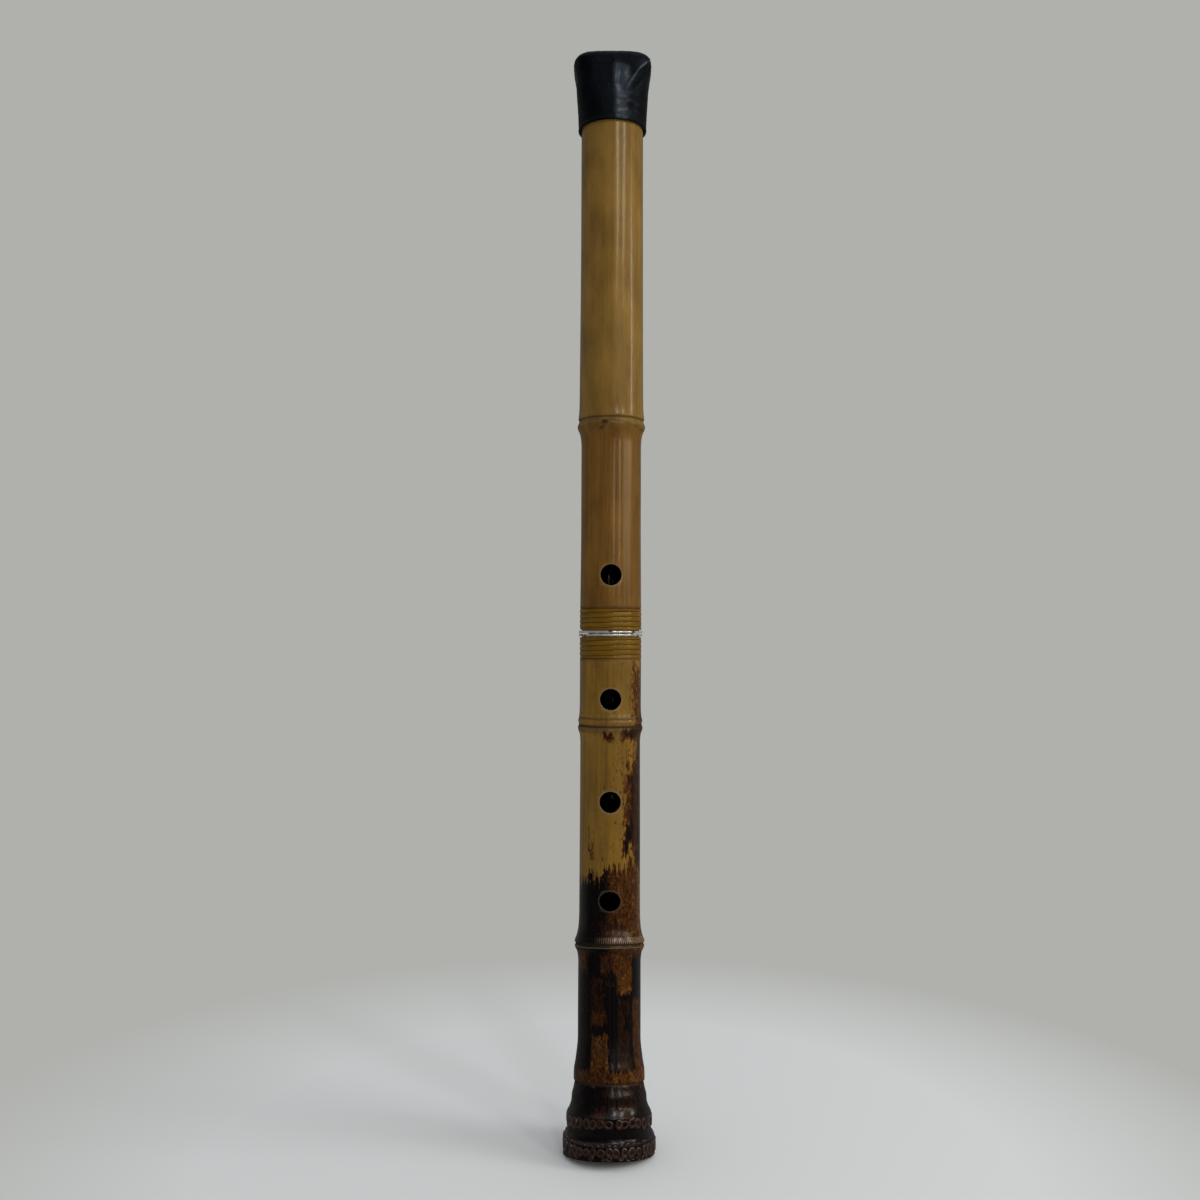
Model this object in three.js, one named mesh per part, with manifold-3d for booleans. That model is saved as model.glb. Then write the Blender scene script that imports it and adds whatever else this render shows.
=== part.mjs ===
// A shakuhachi: an end-blown bamboo flute of 1 shaku 8 sun, in two sections, with a leather mouth cap.
// Millimetres, +Z up. The flute stands on its root end with the finger holes facing -Y.
import * as THREE from "three";
import { mergeVertices } from "three/addons/utils/BufferGeometryUtils.js";
import Module from "manifold-3d";

const wasm = await Module();
wasm.setup();

// Length of the flute
const FLUTE_LENGTH = 545;

// Finger holes: radius, and heights as shares of the flute's length, with the thumb hole at the back
const HOLE_RADIUS = 5.2;
const FRONT_HOLE_SHARES = [0.2273, 0.3193, 0.4125, 0.5262];
const THUMB_HOLE_SHARE = 0.5853;

// The seam of the middle joint, as a share of the way from the third finger hole to the fourth
const JOINT_SHARE = 0.5275;

// Heights of the bamboo's nodes as shares of the flute's length
const NODE_SHARES = { fifth: 0.0622, fourth: 0.1861, third: 0.3897, second: 0.671 };

// Clearances: around what is glued or bound in place, and around what slides
const GLUE_GAP = 0.3;
const SLIDE_GAP = 0.3;
const CUT_OVERRUN = 5;

// The root end sways forward from this height down
const BEND_START = 130;
const ROOT_SWAY = 8;

// Outer radius of the bamboo between its nodes
const MOUTH_RADIUS = 16.1;
const MOUTH_FLARE_LENGTH = 25;
const MOUTH_ROUNDING = 0.8;
const MOUTH_FLARE_SHARES = { length: 0.5, swell: 0.3, full: 0.83 };
const UPPER_SHOULDER_RADIUS = 15.8;
const UPPER_BELLY_RADIUS = 16.25;
const HAND_RADIUS = 15.2;
const JOINT_RADIUS = 15.5;
const MIDDLE_RADIUS = 15.15;
const LOWER_RADIUS = 15.4;
const ROOT_TUBE_RADIUS = 15.75;

// Each node: height of its groove, radii of lip, groove and bulge and of the tube above and below, lengths of
// its flare above and its fall below, and how much of the lip's swell is left 1/5 and 1/2 of the flare up
const SECOND_NODE = {
  height: NODE_SHARES.second * FLUTE_LENGTH,
  above: UPPER_BELLY_RADIUS, lip: 16.8, groove: 16.45, bulge: 17.25, below: HAND_RADIUS,
  flareLength: 14, lipHeight: 0.9, bulgeDrop: 3, fallLength: 13, swellShares: [0.55, 0.15],
};
const THIRD_NODE = {
  height: NODE_SHARES.third * FLUTE_LENGTH,
  above: JOINT_RADIUS, lip: 16.3, groove: 16, bulge: 16.45, below: MIDDLE_RADIUS,
  flareLength: 10, lipHeight: 0.9, bulgeDrop: 2.5, fallLength: 10, swellShares: [0.55, 0.15],
};
const FOURTH_NODE = {
  height: NODE_SHARES.fourth * FLUTE_LENGTH,
  above: LOWER_RADIUS, lip: 17.7, groove: 17.2, bulge: 17.6, below: ROOT_TUBE_RADIUS,
  flareLength: 16, lipHeight: 1, bulgeDrop: 1, fallLength: 9, swellShares: [0.55, 0.15],
};
const FIFTH_NODE = {
  height: NODE_SHARES.fifth * FLUTE_LENGTH,
  above: ROOT_TUBE_RADIUS, lip: 17.8, groove: 17.45, bulge: 17.9, below: 18.9,
  flareLength: 22, lipHeight: 1, bulgeDrop: 3, fallLength: 9, swellShares: [0.97, 0.5],
};
const FLARE_SHARES = [0.2, 0.5];
const FALL_SHARES = { length: 0.45, swell: 0.25 };

// The two root rings: bands that carry the cut stumps of the roots
const LOWER_ROOT_RING = { low: 0.4, high: 9.2, radius: 22.6, stumps: 32, reach: 0.8 };
const UPPER_ROOT_RING = { low: 12.6, high: 20.2, radius: 21, stumps: 28, reach: 0.8 };
const RING_NECK_RADIUS = 20.2;
const RING_SHOULDER = 1;
const RING_SHOULDER_SHARES = { below: 0.6, above: 0.3 };
const BASE_RADIUS = 21.4;
const STUMP_SIDES = 6;
const STUMP_WIDTH_SHARE = 0.8;
const STUMP_HEIGHT_SHARE = 0.9;
const STUMP_TIP_SHARE = 0.72;

// How the growth rings lie aslant: rise per depth at the front, and the share of it that the back falls by.
// The back half of the base is flat, so that the flute stands
const SLANT_END = 150;
const SLANTS = [
  { height: 0, rise: 0.24, backShare: 0 },
  { height: LOWER_ROOT_RING.high, rise: 0.13, backShare: 0 },
  { height: UPPER_ROOT_RING.low, rise: 0.3, backShare: 0.2 },
  { height: UPPER_ROOT_RING.high, rise: 0.2, backShare: 0.5 },
  { height: FIFTH_NODE.height, rise: 0.24, backShare: 1 },
  { height: FOURTH_NODE.height, rise: 0.17, backShare: 1 },
  { height: SLANT_END, rise: 0, backShare: 1 },
];
const SLANT_EASING = 6;

// The bore: radii of the lacquered lining along the flute
const MOUTH_BORE = 10;
const UPPER_BORE_END = 9;
const TENON_BORE = 8.9;
const LOWER_BORE_TOP = 8.8;
const CHOKE_BORE = 7.6;
const CHOKE_HEIGHT = 85;
const BELL_BORE = 9.3;
const BELL_LENGTH = 28;
const BELL_FLARE_SHARE = 0.25;
const LINING_THICKNESS = 1.2;

// The tenon glued into the upper section, and the socket that takes it. It ends short of the holes beside it
const TENON_WALL = 2.5;
const THIRD_HOLE_MARGIN = 1.5;
const FOURTH_HOLE_MARGIN = 4;
const TENON_EDGE = 0.6;
const SOCKET_LINING = 0.7;

// The two silver rings that meet at the seam
const SEAM_GAP = 0.3;
const RING_RADIUS = 16.2;
const RING_HEIGHT = 1.45;
const RING_FLANGE = 0.6;
const RING_BEAD = 0.5;

// The rattan strip wound into a recess beside each ring
const STRIP_WIDTH = 2.05;
const STRIP_THICKNESS = 0.85;
const STRIP_PITCH = 2.5;
const STRIP_TURNS = 3.3;
const STRIP_PROUD = 0.25;
const STRIP_STEPS = 24;
const STRIP_EDGE_SHARE = 0.55;
const STRIP_CROWN_SHARE = 0.56;

// The blowing edge: a slanting cut through the front of the rim, with a horn inlay set in it
const EDGE_DROP = 3.5;
const EDGE_SLOPE = THREE.MathUtils.degToRad(60);
const INLAY_TOP_WIDTH = 15;
const INLAY_FOOT_WIDTH = 10.5;
const INLAY_LENGTH = 9.5;
const INLAY_RISE = 6;
const INLAY_THICKNESS = 3;

// The leather cap that covers the mouth end
const LEATHER = 0.9;
const CAP_COVER = 29.6;
const CAP_TOP_RADIUS = 19.8;
const CAP_CORNER = 3.2;
const CAP_LIP_WIDTH = 3.4;
const CAP_SQUARENESS = 4;
const CROWN_THICKNESS = 1.2;
const CROWN_LAP = 2.6;
const PAD_RADIUS = 15.4;
const PAD_THICKNESS = 1.8;

const AROUND = 40;
const FRONT = -Math.PI / 2;

// Colour, roughness and metalness of each material
const finish = (color, roughness, metalness = 0) =>
  new THREE.MeshStandardMaterial({ color, roughness, metalness });
const goldenBamboo = finish("#7a6034", 0.3);
const rootBamboo = finish("#4a3016", 0.35);
const blackLacquer = finish("#0b090b", 0.2);
const horn = finish("#151210", 0.25);
const silver = finish("#b9b3a8", 0.25, 1);
const rattan = finish("#604a20", 0.45);
const blackLeather = finish("#0f1114", 0.5);
const darkFelt = finish("#2a2522", 0.95);

const { lerp } = THREE.MathUtils;

// Value at a height between stations of [height, value], eased or straight
function between(stations, height, ease = (t) => t) {
  const last = stations.length - 1;
  if (height <= stations[0][0]) return stations[0][1];
  if (height >= stations[last][0]) return stations[last][1];
  const i = stations.findIndex(([h]) => h > height);
  const [[lowAt, low], [highAt, high]] = [stations[i - 1], stations[i]];
  return low + (high - low) * ease((height - lowAt) / (highAt - lowAt));
}
const smooth = (t) => t * t * (3 - 2 * t);

// How far a point at a depth behind the centreline is lifted by the slant of the growth ring it lies on
function lift(depth, height) {
  const rise = between(SLANTS.map((slant) => [slant.height, slant.rise]), height, smooth);
  const backShare = between(SLANTS.map((slant) => [slant.height, slant.backShare]), height, smooth);
  if (depth > 0) return -rise * backShare * depth;
  const eased = Math.max(depth, -SLANT_EASING);
  const front = (eased * eased) / (2 * SLANT_EASING) + eased - depth;
  return rise * lerp(front, -depth, backShare);
}

// A point of the bamboo, by its radius and angle round the swaying centreline and its height along it
function onBamboo(radius, angle, height) {
  const bent = Math.max(0, (BEND_START - height) / BEND_START);
  const depth = radius * Math.sin(angle);
  return new THREE.Vector3(
    radius * Math.cos(angle),
    depth - ROOT_SWAY * bent * bent,
    height + lift(depth, height),
  );
}

// A closed outline of [radius, height], up the outside and down the inside, turned round the flute
function revolve(outline, place = onBamboo) {
  const positions = [];
  const faces = [];
  for (const [radius, height] of outline)
    for (let k = 0; k < AROUND; k++)
      positions.push(...place(radius, (2 * Math.PI * k) / AROUND, height).toArray());
  for (let i = 0; i < outline.length; i++)
    for (let k = 0; k < AROUND; k++) {
      const next = (i + 1) % outline.length;
      const turn = (k + 1) % AROUND;
      const [a, b] = [i * AROUND + k, i * AROUND + turn];
      const [c, d] = [next * AROUND + turn, next * AROUND + k];
      faces.push(a, b, c, a, c, d);
    }
  return new THREE.BufferGeometry()
    .setAttribute("position", new THREE.Float32BufferAttribute(positions, 3))
    .setIndex(faces);
}

// A closed geometry as a solid that can be cut and joined
function solid(geometry, matrix = new THREE.Matrix4()) {
  const bare = geometry.clone().applyMatrix4(matrix);
  for (const extra of ["normal", "uv"]) bare.deleteAttribute(extra);
  const merged = mergeVertices(bare);
  return new wasm.Manifold(
    new wasm.Mesh({
      numProp: 3,
      vertProperties: merged.attributes.position.array,
      triVerts: new Uint32Array(merged.index.array),
    }),
  );
}

// A solid's surface as geometry
function surface(body) {
  const { numProp, vertProperties, triVerts } = body.getMesh();
  const positions = [];
  for (let i = 0; i < vertProperties.length; i += numProp)
    positions.push(...vertProperties.subarray(i, i + 3));
  return new THREE.BufferGeometry()
    .setAttribute("position", new THREE.Float32BufferAttribute(positions, 3))
    .setIndex([...triVerts]);
}

// The outer outline of a node, from the tube below it to the tube above it
function nodeOutline({ height, above, lip, groove, bulge, below, swellShares, ...length }) {
  const fall = lerp(length.bulgeDrop, length.fallLength, FALL_SHARES.length);
  const flare = FLARE_SHARES.map((share, i) => [
    lerp(above, lip, swellShares[i]),
    height + lerp(length.lipHeight, length.flareLength, share),
  ]);
  return [
    [below, height - length.fallLength],
    [lerp(below, bulge, FALL_SHARES.swell), height - fall],
    [bulge, height - length.bulgeDrop],
    [groove, height],
    [lip, height + length.lipHeight],
    ...flare,
    [above, height + length.flareLength],
  ];
}

// Heights of the finger holes, the joint and the tenon
const frontHeights = FRONT_HOLE_SHARES.map((share) => share * FLUTE_LENGTH);
const [, , thirdHole, fourthHole] = frontHeights;
const jointHeight = lerp(thirdHole, fourthHole, JOINT_SHARE);
const tenonFoot = thirdHole + HOLE_RADIUS + THIRD_HOLE_MARGIN;
const tenonHead = fourthHole - HOLE_RADIUS - FOURTH_HOLE_MARGIN;

// Bore radius at a height, and the natural hollow of the bamboo behind the lining
const boreStations = [
  [0, BELL_BORE],
  [BELL_LENGTH, lerp(CHOKE_BORE, BELL_BORE, BELL_FLARE_SHARE)],
  [CHOKE_HEIGHT, CHOKE_BORE],
  [tenonFoot, LOWER_BORE_TOP],
  [tenonHead, UPPER_BORE_END],
  [FLUTE_LENGTH, MOUTH_BORE],
];
const boreAt = (height) => between(boreStations, height);
const hollowAt = (height) => boreAt(height) + LINING_THICKNESS + GLUE_GAP;

// Heights that follow from the joint
const tenonRadius = TENON_BORE + TENON_WALL;
const socketRadius = tenonRadius + SLIDE_GAP;
const seatRadius = JOINT_RADIUS + STRIP_PROUD - STRIP_THICKNESS - GLUE_GAP;
const upperRingFoot = jointHeight + SEAM_GAP / 2;
const lowerRingHead = jointHeight - SEAM_GAP / 2;
const upperEnd = upperRingFoot + RING_FLANGE + GLUE_GAP;
const lowerEnd = lowerRingHead - RING_FLANGE - GLUE_GAP;
const bindingLength = STRIP_TURNS * STRIP_PITCH + STRIP_WIDTH;
const upperBindingFoot = upperRingFoot + RING_HEIGHT + GLUE_GAP;
const lowerBindingHead = lowerRingHead - RING_HEIGHT - GLUE_GAP;
const upperRecess = upperBindingFoot + bindingLength + GLUE_GAP;
const lowerRecess = lowerBindingHead - bindingLength - GLUE_GAP;

// Cylinders that cut the finger holes through one wall
function fingerHole(height, side) {
  const length = 2 * UPPER_BELLY_RADIUS;
  const axle = new THREE.CylinderGeometry(HOLE_RADIUS, HOLE_RADIUS, length, AROUND / 2);
  const centre = onBamboo(0, 0, height);
  return solid(axle, new THREE.Matrix4().setPosition(0, centre.y + (side * length) / 2, height));
}
const frontHoles = (heights) => heights.map((height) => fingerHole(height, -1));
const lowerHoles = frontHoles(frontHeights.filter((height) => height < jointHeight));
const upperHoles = [
  ...frontHoles(frontHeights.filter((height) => height > jointHeight)),
  fingerHole(THUMB_HOLE_SHARE * FLUTE_LENGTH, 1),
];
const without = (body, cuts) => cuts.reduce((rest, cut) => rest.subtract(cut), body);

// The slanting cut of the blowing edge: its own axes run across, down the slope and into the wall
const edgeFrame = new THREE.Matrix4()
  .makeBasis(
    new THREE.Vector3(1, 0, 0),
    new THREE.Vector3(0, -Math.cos(EDGE_SLOPE), -Math.sin(EDGE_SLOPE)),
    new THREE.Vector3(0, Math.sin(EDGE_SLOPE), -Math.cos(EDGE_SLOPE)),
  )
  .setPosition(0, -MOUTH_BORE, FLUTE_LENGTH - EDGE_DROP);

function edgeCut() {
  const reach = 2 * MOUTH_RADIUS;
  const block = new THREE.BoxGeometry(2 * reach, 2 * reach, reach).translate(0, 0, -reach / 2);
  return solid(block, edgeFrame);
}

// The wedge of the horn inlay, grown by a margin where it cuts its own seat
function inlayWedge(margin) {
  const [top, foot] = [INLAY_TOP_WIDTH / 2 + margin, INLAY_FOOT_WIDTH / 2 + margin];
  const plan = new THREE.Shape([
    new THREE.Vector2(-top, -INLAY_RISE - margin),
    new THREE.Vector2(top, -INLAY_RISE - margin),
    new THREE.Vector2(foot, INLAY_LENGTH + margin),
    new THREE.Vector2(-foot, INLAY_LENGTH + margin),
  ]);
  const depth = INLAY_THICKNESS + margin + CUT_OVERRUN;
  const wedge = new THREE.ExtrudeGeometry(plan, { depth, bevelEnabled: false });
  return solid(wedge.translate(0, 0, -CUT_OVERRUN), edgeFrame);
}

// The outside of the upper section from its end at the joint to the rim
const upperOutside = [
  [seatRadius, upperEnd],
  [seatRadius, upperRecess],
  [JOINT_RADIUS, upperRecess],
  [HAND_RADIUS, (upperRecess + SECOND_NODE.height) / 2],
  ...nodeOutline(SECOND_NODE),
  [UPPER_SHOULDER_RADIUS, FLUTE_LENGTH - MOUTH_FLARE_LENGTH],
  [
    lerp(UPPER_SHOULDER_RADIUS, MOUTH_RADIUS, MOUTH_FLARE_SHARES.swell),
    FLUTE_LENGTH - MOUTH_FLARE_LENGTH * MOUTH_FLARE_SHARES.length,
  ],
  [MOUTH_RADIUS, FLUTE_LENGTH - MOUTH_FLARE_LENGTH * (1 - MOUTH_FLARE_SHARES.full)],
  [MOUTH_RADIUS, FLUTE_LENGTH - MOUTH_ROUNDING],
  [MOUTH_RADIUS - MOUTH_ROUNDING, FLUTE_LENGTH],
];

function upperBamboo() {
  const pocket = tenonRadius + GLUE_GAP;
  const pocketEnd = tenonHead + GLUE_GAP;
  const tube = revolve([
    ...upperOutside,
    [hollowAt(FLUTE_LENGTH), FLUTE_LENGTH],
    [hollowAt(pocketEnd), pocketEnd],
    [pocket, pocketEnd],
    [pocket, upperEnd],
  ]);
  return surface(without(solid(tube), [...upperHoles, edgeCut(), inlayWedge(GLUE_GAP)]));
}

function mouthInlay() {
  const foot = FLUTE_LENGTH - 2 * MOUTH_FLARE_LENGTH;
  const rim = [
    ...upperOutside.filter(([, height]) => height >= foot),
    [MOUTH_BORE, FLUTE_LENGTH],
    [MOUTH_BORE, FLUTE_LENGTH - MOUTH_FLARE_LENGTH],
  ];
  return surface(solid(revolve(rim)).subtract(edgeCut()).intersect(inlayWedge(0)));
}

// A lining that follows the bore through a list of heights, lowest first
function liningOutline(heights) {
  return [
    ...heights.map((height) => [boreAt(height) + LINING_THICKNESS, height]),
    ...[...heights].reverse().map((height) => [boreAt(height), height]),
  ];
}

function upperLining() {
  const tube = revolve(liningOutline([tenonHead + GLUE_GAP, SECOND_NODE.height, FLUTE_LENGTH]));
  return surface(without(solid(tube), [...upperHoles, edgeCut(), inlayWedge(GLUE_GAP)]));
}

// The outside of the lower section, from its flat base to its end at the joint
const shoulder = ({ low, high, radius }) => [
  [lerp(RING_NECK_RADIUS, radius, RING_SHOULDER_SHARES.below), low - RING_SHOULDER / 2],
  [radius, low + RING_SHOULDER / 2],
  [radius, high - RING_SHOULDER / 2],
  [lerp(RING_NECK_RADIUS, radius, RING_SHOULDER_SHARES.above), high + RING_SHOULDER / 2],
];
const lowerOutside = [
  [BASE_RADIUS, 0],
  [LOWER_ROOT_RING.radius, LOWER_ROOT_RING.low],
  ...shoulder(LOWER_ROOT_RING).slice(2),
  [RING_NECK_RADIUS, (LOWER_ROOT_RING.high + UPPER_ROOT_RING.low) / 2],
  ...shoulder(UPPER_ROOT_RING),
  ...nodeOutline(FIFTH_NODE),
  [ROOT_TUBE_RADIUS, (FIFTH_NODE.height + FOURTH_NODE.height) / 2],
  ...nodeOutline(FOURTH_NODE),
  [(LOWER_RADIUS + MIDDLE_RADIUS) / 2, (FOURTH_NODE.height + THIRD_NODE.height) / 2],
  ...nodeOutline(THIRD_NODE),
  [JOINT_RADIUS, lowerRecess],
  [seatRadius, lowerRecess],
  [seatRadius, lowerEnd],
];

// Heights at which the lower bore widens or bends, up to the floor of the socket
const socketFloor = tenonFoot - SLIDE_GAP;
const lowerBoreHeights = [
  0,
  LOWER_ROOT_RING.high,
  BELL_LENGTH,
  CHOKE_HEIGHT,
  FOURTH_NODE.height,
  BEND_START,
  SLANT_END,
  THIRD_NODE.height,
  socketFloor,
].sort((a, b) => a - b);

// The stumps of a root ring, each a short faceted peg that points outwards
function stumps({ low, high, radius, stumps: count, reach }) {
  const spacing = (2 * Math.PI * radius) / count;
  const length = 2 * RING_SHOULDER + reach;
  return Array.from({ length: count }, (_, k) => {
    const angle = FRONT + (2 * Math.PI * k) / count;
    const peg = new THREE.CylinderGeometry(STUMP_TIP_SHARE / 2, 1 / 2, length, STUMP_SIDES);
    peg.rotateZ(FRONT);
    peg.scale(1, STUMP_WIDTH_SHARE * spacing, STUMP_HEIGHT_SHARE * (high - low));
    peg.rotateZ(angle);
    const seat = onBamboo(radius + reach - length / 2, angle, (low + high) / 2);
    return solid(peg.translate(seat.x, seat.y, seat.z));
  });
}

function lowerBamboo() {
  const socket = socketRadius + SOCKET_LINING + GLUE_GAP;
  const inside = [...lowerBoreHeights].reverse().map((height) => [hollowAt(height), height]);
  const tube = revolve([...lowerOutside, [socket, lowerEnd], [socket, socketFloor], ...inside]);
  const pegs = [...stumps(LOWER_ROOT_RING), ...stumps(UPPER_ROOT_RING)];
  return surface(without(wasm.Manifold.union([solid(tube), ...pegs]), lowerHoles));
}

function lowerLining() {
  return surface(without(solid(revolve(liningOutline(lowerBoreHeights))), lowerHoles));
}

function tenon() {
  return revolve([
    [tenonRadius - TENON_EDGE, tenonFoot],
    [tenonRadius, tenonFoot + TENON_EDGE],
    [tenonRadius, tenonHead],
    [TENON_BORE, tenonHead],
    [TENON_BORE, tenonFoot],
  ]);
}

function socketLining() {
  return revolve([
    [socketRadius + SOCKET_LINING, tenonFoot],
    [socketRadius + SOCKET_LINING, lowerEnd],
    [socketRadius, lowerEnd],
    [socketRadius, tenonFoot],
  ]);
}

// A silver ring: a bead over the end of the bamboo and a flange over its end face, up or down from the seam
function silverRing(seam, way) {
  const band = seatRadius + GLUE_GAP;
  const outline = [
    [socketRadius, 0],
    [RING_RADIUS - RING_BEAD, 0],
    [RING_RADIUS, RING_BEAD],
    [RING_RADIUS, RING_HEIGHT - RING_BEAD],
    [RING_RADIUS - RING_BEAD / 2, RING_HEIGHT],
    [band, RING_HEIGHT],
    [band, RING_FLANGE],
    [socketRadius, RING_FLANGE],
  ].map(([radius, rise]) => [radius, seam + way * rise]);
  return revolve(way > 0 ? outline : outline.reverse());
}

// A rattan strip wound round the seat, from one height over its turns, with straight ends
function binding(low, startAngle) {
  const inner = seatRadius + GLUE_GAP;
  const crown = inner + STRIP_THICKNESS;
  const edge = inner + STRIP_EDGE_SHARE * STRIP_THICKNESS;
  const half = STRIP_WIDTH / 2;
  const section = [
    [inner, -half],
    [edge, -half],
    [crown, -half * STRIP_CROWN_SHARE],
    [crown, half * STRIP_CROWN_SHARE],
    [edge, half],
    [inner, half],
  ];
  const steps = Math.round(STRIP_TURNS * STRIP_STEPS);
  const angleAt = (i) => startAngle + (2 * Math.PI * i) / STRIP_STEPS;
  const rings = Array.from({ length: steps + 1 }, (_, i) => {
    const height = low + half + (STRIP_PITCH * i) / STRIP_STEPS;
    return section.map(([radius, rise]) => onBamboo(radius, angleAt(i), height + rise));
  });
  const straightEnd = (i, run) => {
    const onward = new THREE.Vector3(-Math.sin(angleAt(i)), Math.cos(angleAt(i)), 0);
    return rings[i].map((point) => point.clone().addScaledVector(onward, run));
  };
  const all = [straightEnd(0, -STRIP_THICKNESS), ...rings, straightEnd(steps, STRIP_THICKNESS)];
  const faces = [];
  const sides = section.length;
  for (let i = 0; i < all.length - 1; i++)
    for (let k = 0; k < sides; k++) {
      const [a, b] = [i * sides + k, i * sides + ((k + 1) % sides)];
      faces.push(a, a + sides, b, b, a + sides, b + sides);
    }
  const last = (all.length - 1) * sides;
  for (let k = 1; k < sides - 1; k++) faces.push(0, k, k + 1, last, last + k + 1, last + k);
  console.log(`least gap between rattan turns: ${leastGap(rings).toFixed(2)} mm`);
  const positions = all.flat().flatMap((point) => point.toArray());
  return new THREE.BufferGeometry()
    .setAttribute("position", new THREE.Float32BufferAttribute(positions, 3))
    .setIndex(faces);
}

// The least distance between points of the strip that lie over half a turn apart along it
function leastGap(rings) {
  let least = Infinity;
  for (let i = 0; i < rings.length; i++)
    for (let j = i + STRIP_STEPS / 2; j < rings.length; j++)
      for (const a of rings[i]) for (const b of rings[j]) least = Math.min(least, a.distanceTo(b));
  return least;
}

// The cap's plan turns from a circle at its skirt to a rounded square at its top
const capFoot = FLUTE_LENGTH - CAP_COVER;
const padFoot = FLUTE_LENGTH + SLIDE_GAP;
const crownFoot = padFoot + PAD_THICKNESS + GLUE_GAP;
const capTop = crownFoot + CROWN_THICKNESS + GLUE_GAP + LEATHER;
function onCap(radius, angle, height) {
  const square = THREE.MathUtils.smoothstep(height, capFoot, capTop - CAP_CORNER);
  const power = lerp(2, CAP_SQUARENESS, square);
  const spread = (Math.abs(Math.cos(angle)) ** power + Math.abs(Math.sin(angle)) ** power) ** (-1 / power);
  return new THREE.Vector3(radius * spread * Math.cos(angle), radius * spread * Math.sin(angle), height);
}

// Share of the cap's widening against share of its height, up to the top corner
const capFlareShares = [
  [0, 0],
  [0.14, 0.26],
  [0.36, 0.56],
  [0.55, 0.78],
  [0.85, 0.93],
  [1, 1],
];

function capWall() {
  const skirt = MOUTH_RADIUS + SLIDE_GAP + LEATHER;
  const rise = capTop - CAP_CORNER - capFoot;
  const outside = capFlareShares.map(([widening, height]) => [
    lerp(skirt, CAP_TOP_RADIUS, widening),
    capFoot + height * rise,
  ]);
  const corner = (radius, turn) => [
    CAP_TOP_RADIUS - CAP_CORNER + radius * Math.cos(turn),
    capTop - CAP_CORNER + radius * Math.sin(turn),
  ];
  const turns = [1, 2, 3].map((k) => (k * Math.PI) / 6);
  const lip = CAP_TOP_RADIUS - CAP_CORNER - CAP_LIP_WIDTH;
  return revolve(
    [
      ...outside,
      ...turns.map((turn) => corner(CAP_CORNER, turn)),
      [lip, capTop],
      [lip, capTop - LEATHER],
      ...turns.reverse().map((turn) => corner(CAP_CORNER - LEATHER, turn)),
      ...outside.reverse().map(([radius, height]) => [radius - LEATHER, height]),
    ],
    onCap,
  );
}

// A flat disc that lies with its foot at a height
function disc(radius, thickness, foot) {
  const upright = new THREE.CylinderGeometry(radius, radius, thickness, AROUND).rotateX(Math.PI / 2);
  return upright.translate(0, 0, foot + thickness / 2);
}
const crownRadius = CAP_TOP_RADIUS - CAP_CORNER - CAP_LIP_WIDTH + CROWN_LAP;

const flute = new THREE.Group();
function piece(name, geometry, material) {
  const mesh = new THREE.Mesh(geometry, material);
  mesh.name = name;
  flute.add(mesh);
}

piece("lower_bamboo", lowerBamboo(), rootBamboo);
piece("lower_bore_lining", lowerLining(), blackLacquer);
piece("socket_lining", socketLining(), blackLacquer);
piece("lower_silver_ring", silverRing(lowerRingHead, -1), silver);
piece("lower_rattan_binding", binding(lowerBindingHead - bindingLength, -FRONT), rattan);
piece("upper_silver_ring", silverRing(upperRingFoot, 1), silver);
piece("upper_bamboo", upperBamboo(), goldenBamboo);
piece("upper_bore_lining", upperLining(), blackLacquer);
piece("upper_rattan_binding", binding(upperBindingFoot, FRONT - 2 * Math.PI * (STRIP_TURNS % 1)), rattan);
piece("tenon", tenon(), blackLacquer);
piece("mouth_inlay", mouthInlay(), horn);
piece("cap_wall", capWall(), blackLeather);
piece("cap_crown", disc(crownRadius, CROWN_THICKNESS, crownFoot), blackLeather);
piece("cap_pad", disc(PAD_RADIUS, PAD_THICKNESS, padFoot), darkFelt);

// The origin lies under the middle of the whole flute's outline, on the plane it stands on
const outline = new THREE.Box3().setFromObject(flute);
flute.position.y = -(outline.min.y + outline.max.y) / 2;
console.log(`the straight part's axis lies at y = ${flute.position.y.toFixed(3)} mm`);

export default flute;
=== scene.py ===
"""A two-piece bamboo flute (shakuhachi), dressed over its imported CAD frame.

Sizes are in millimetres in the classes and in metres in the meshes, +Z up. The flute stands on its root end
with the finger holes facing -Y. Every piece is first turned straight round the Z axis and then bent by
FluteAxis, as the culm itself is.
"""

import logging
import math
import random
from contextlib import contextmanager
from dataclasses import dataclass
from enum import Enum
from functools import cache
from typing import Callable, Iterator, Sequence

import bmesh
import bpy
import numpy as np
from mathutils import Matrix, Vector, noise


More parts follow.
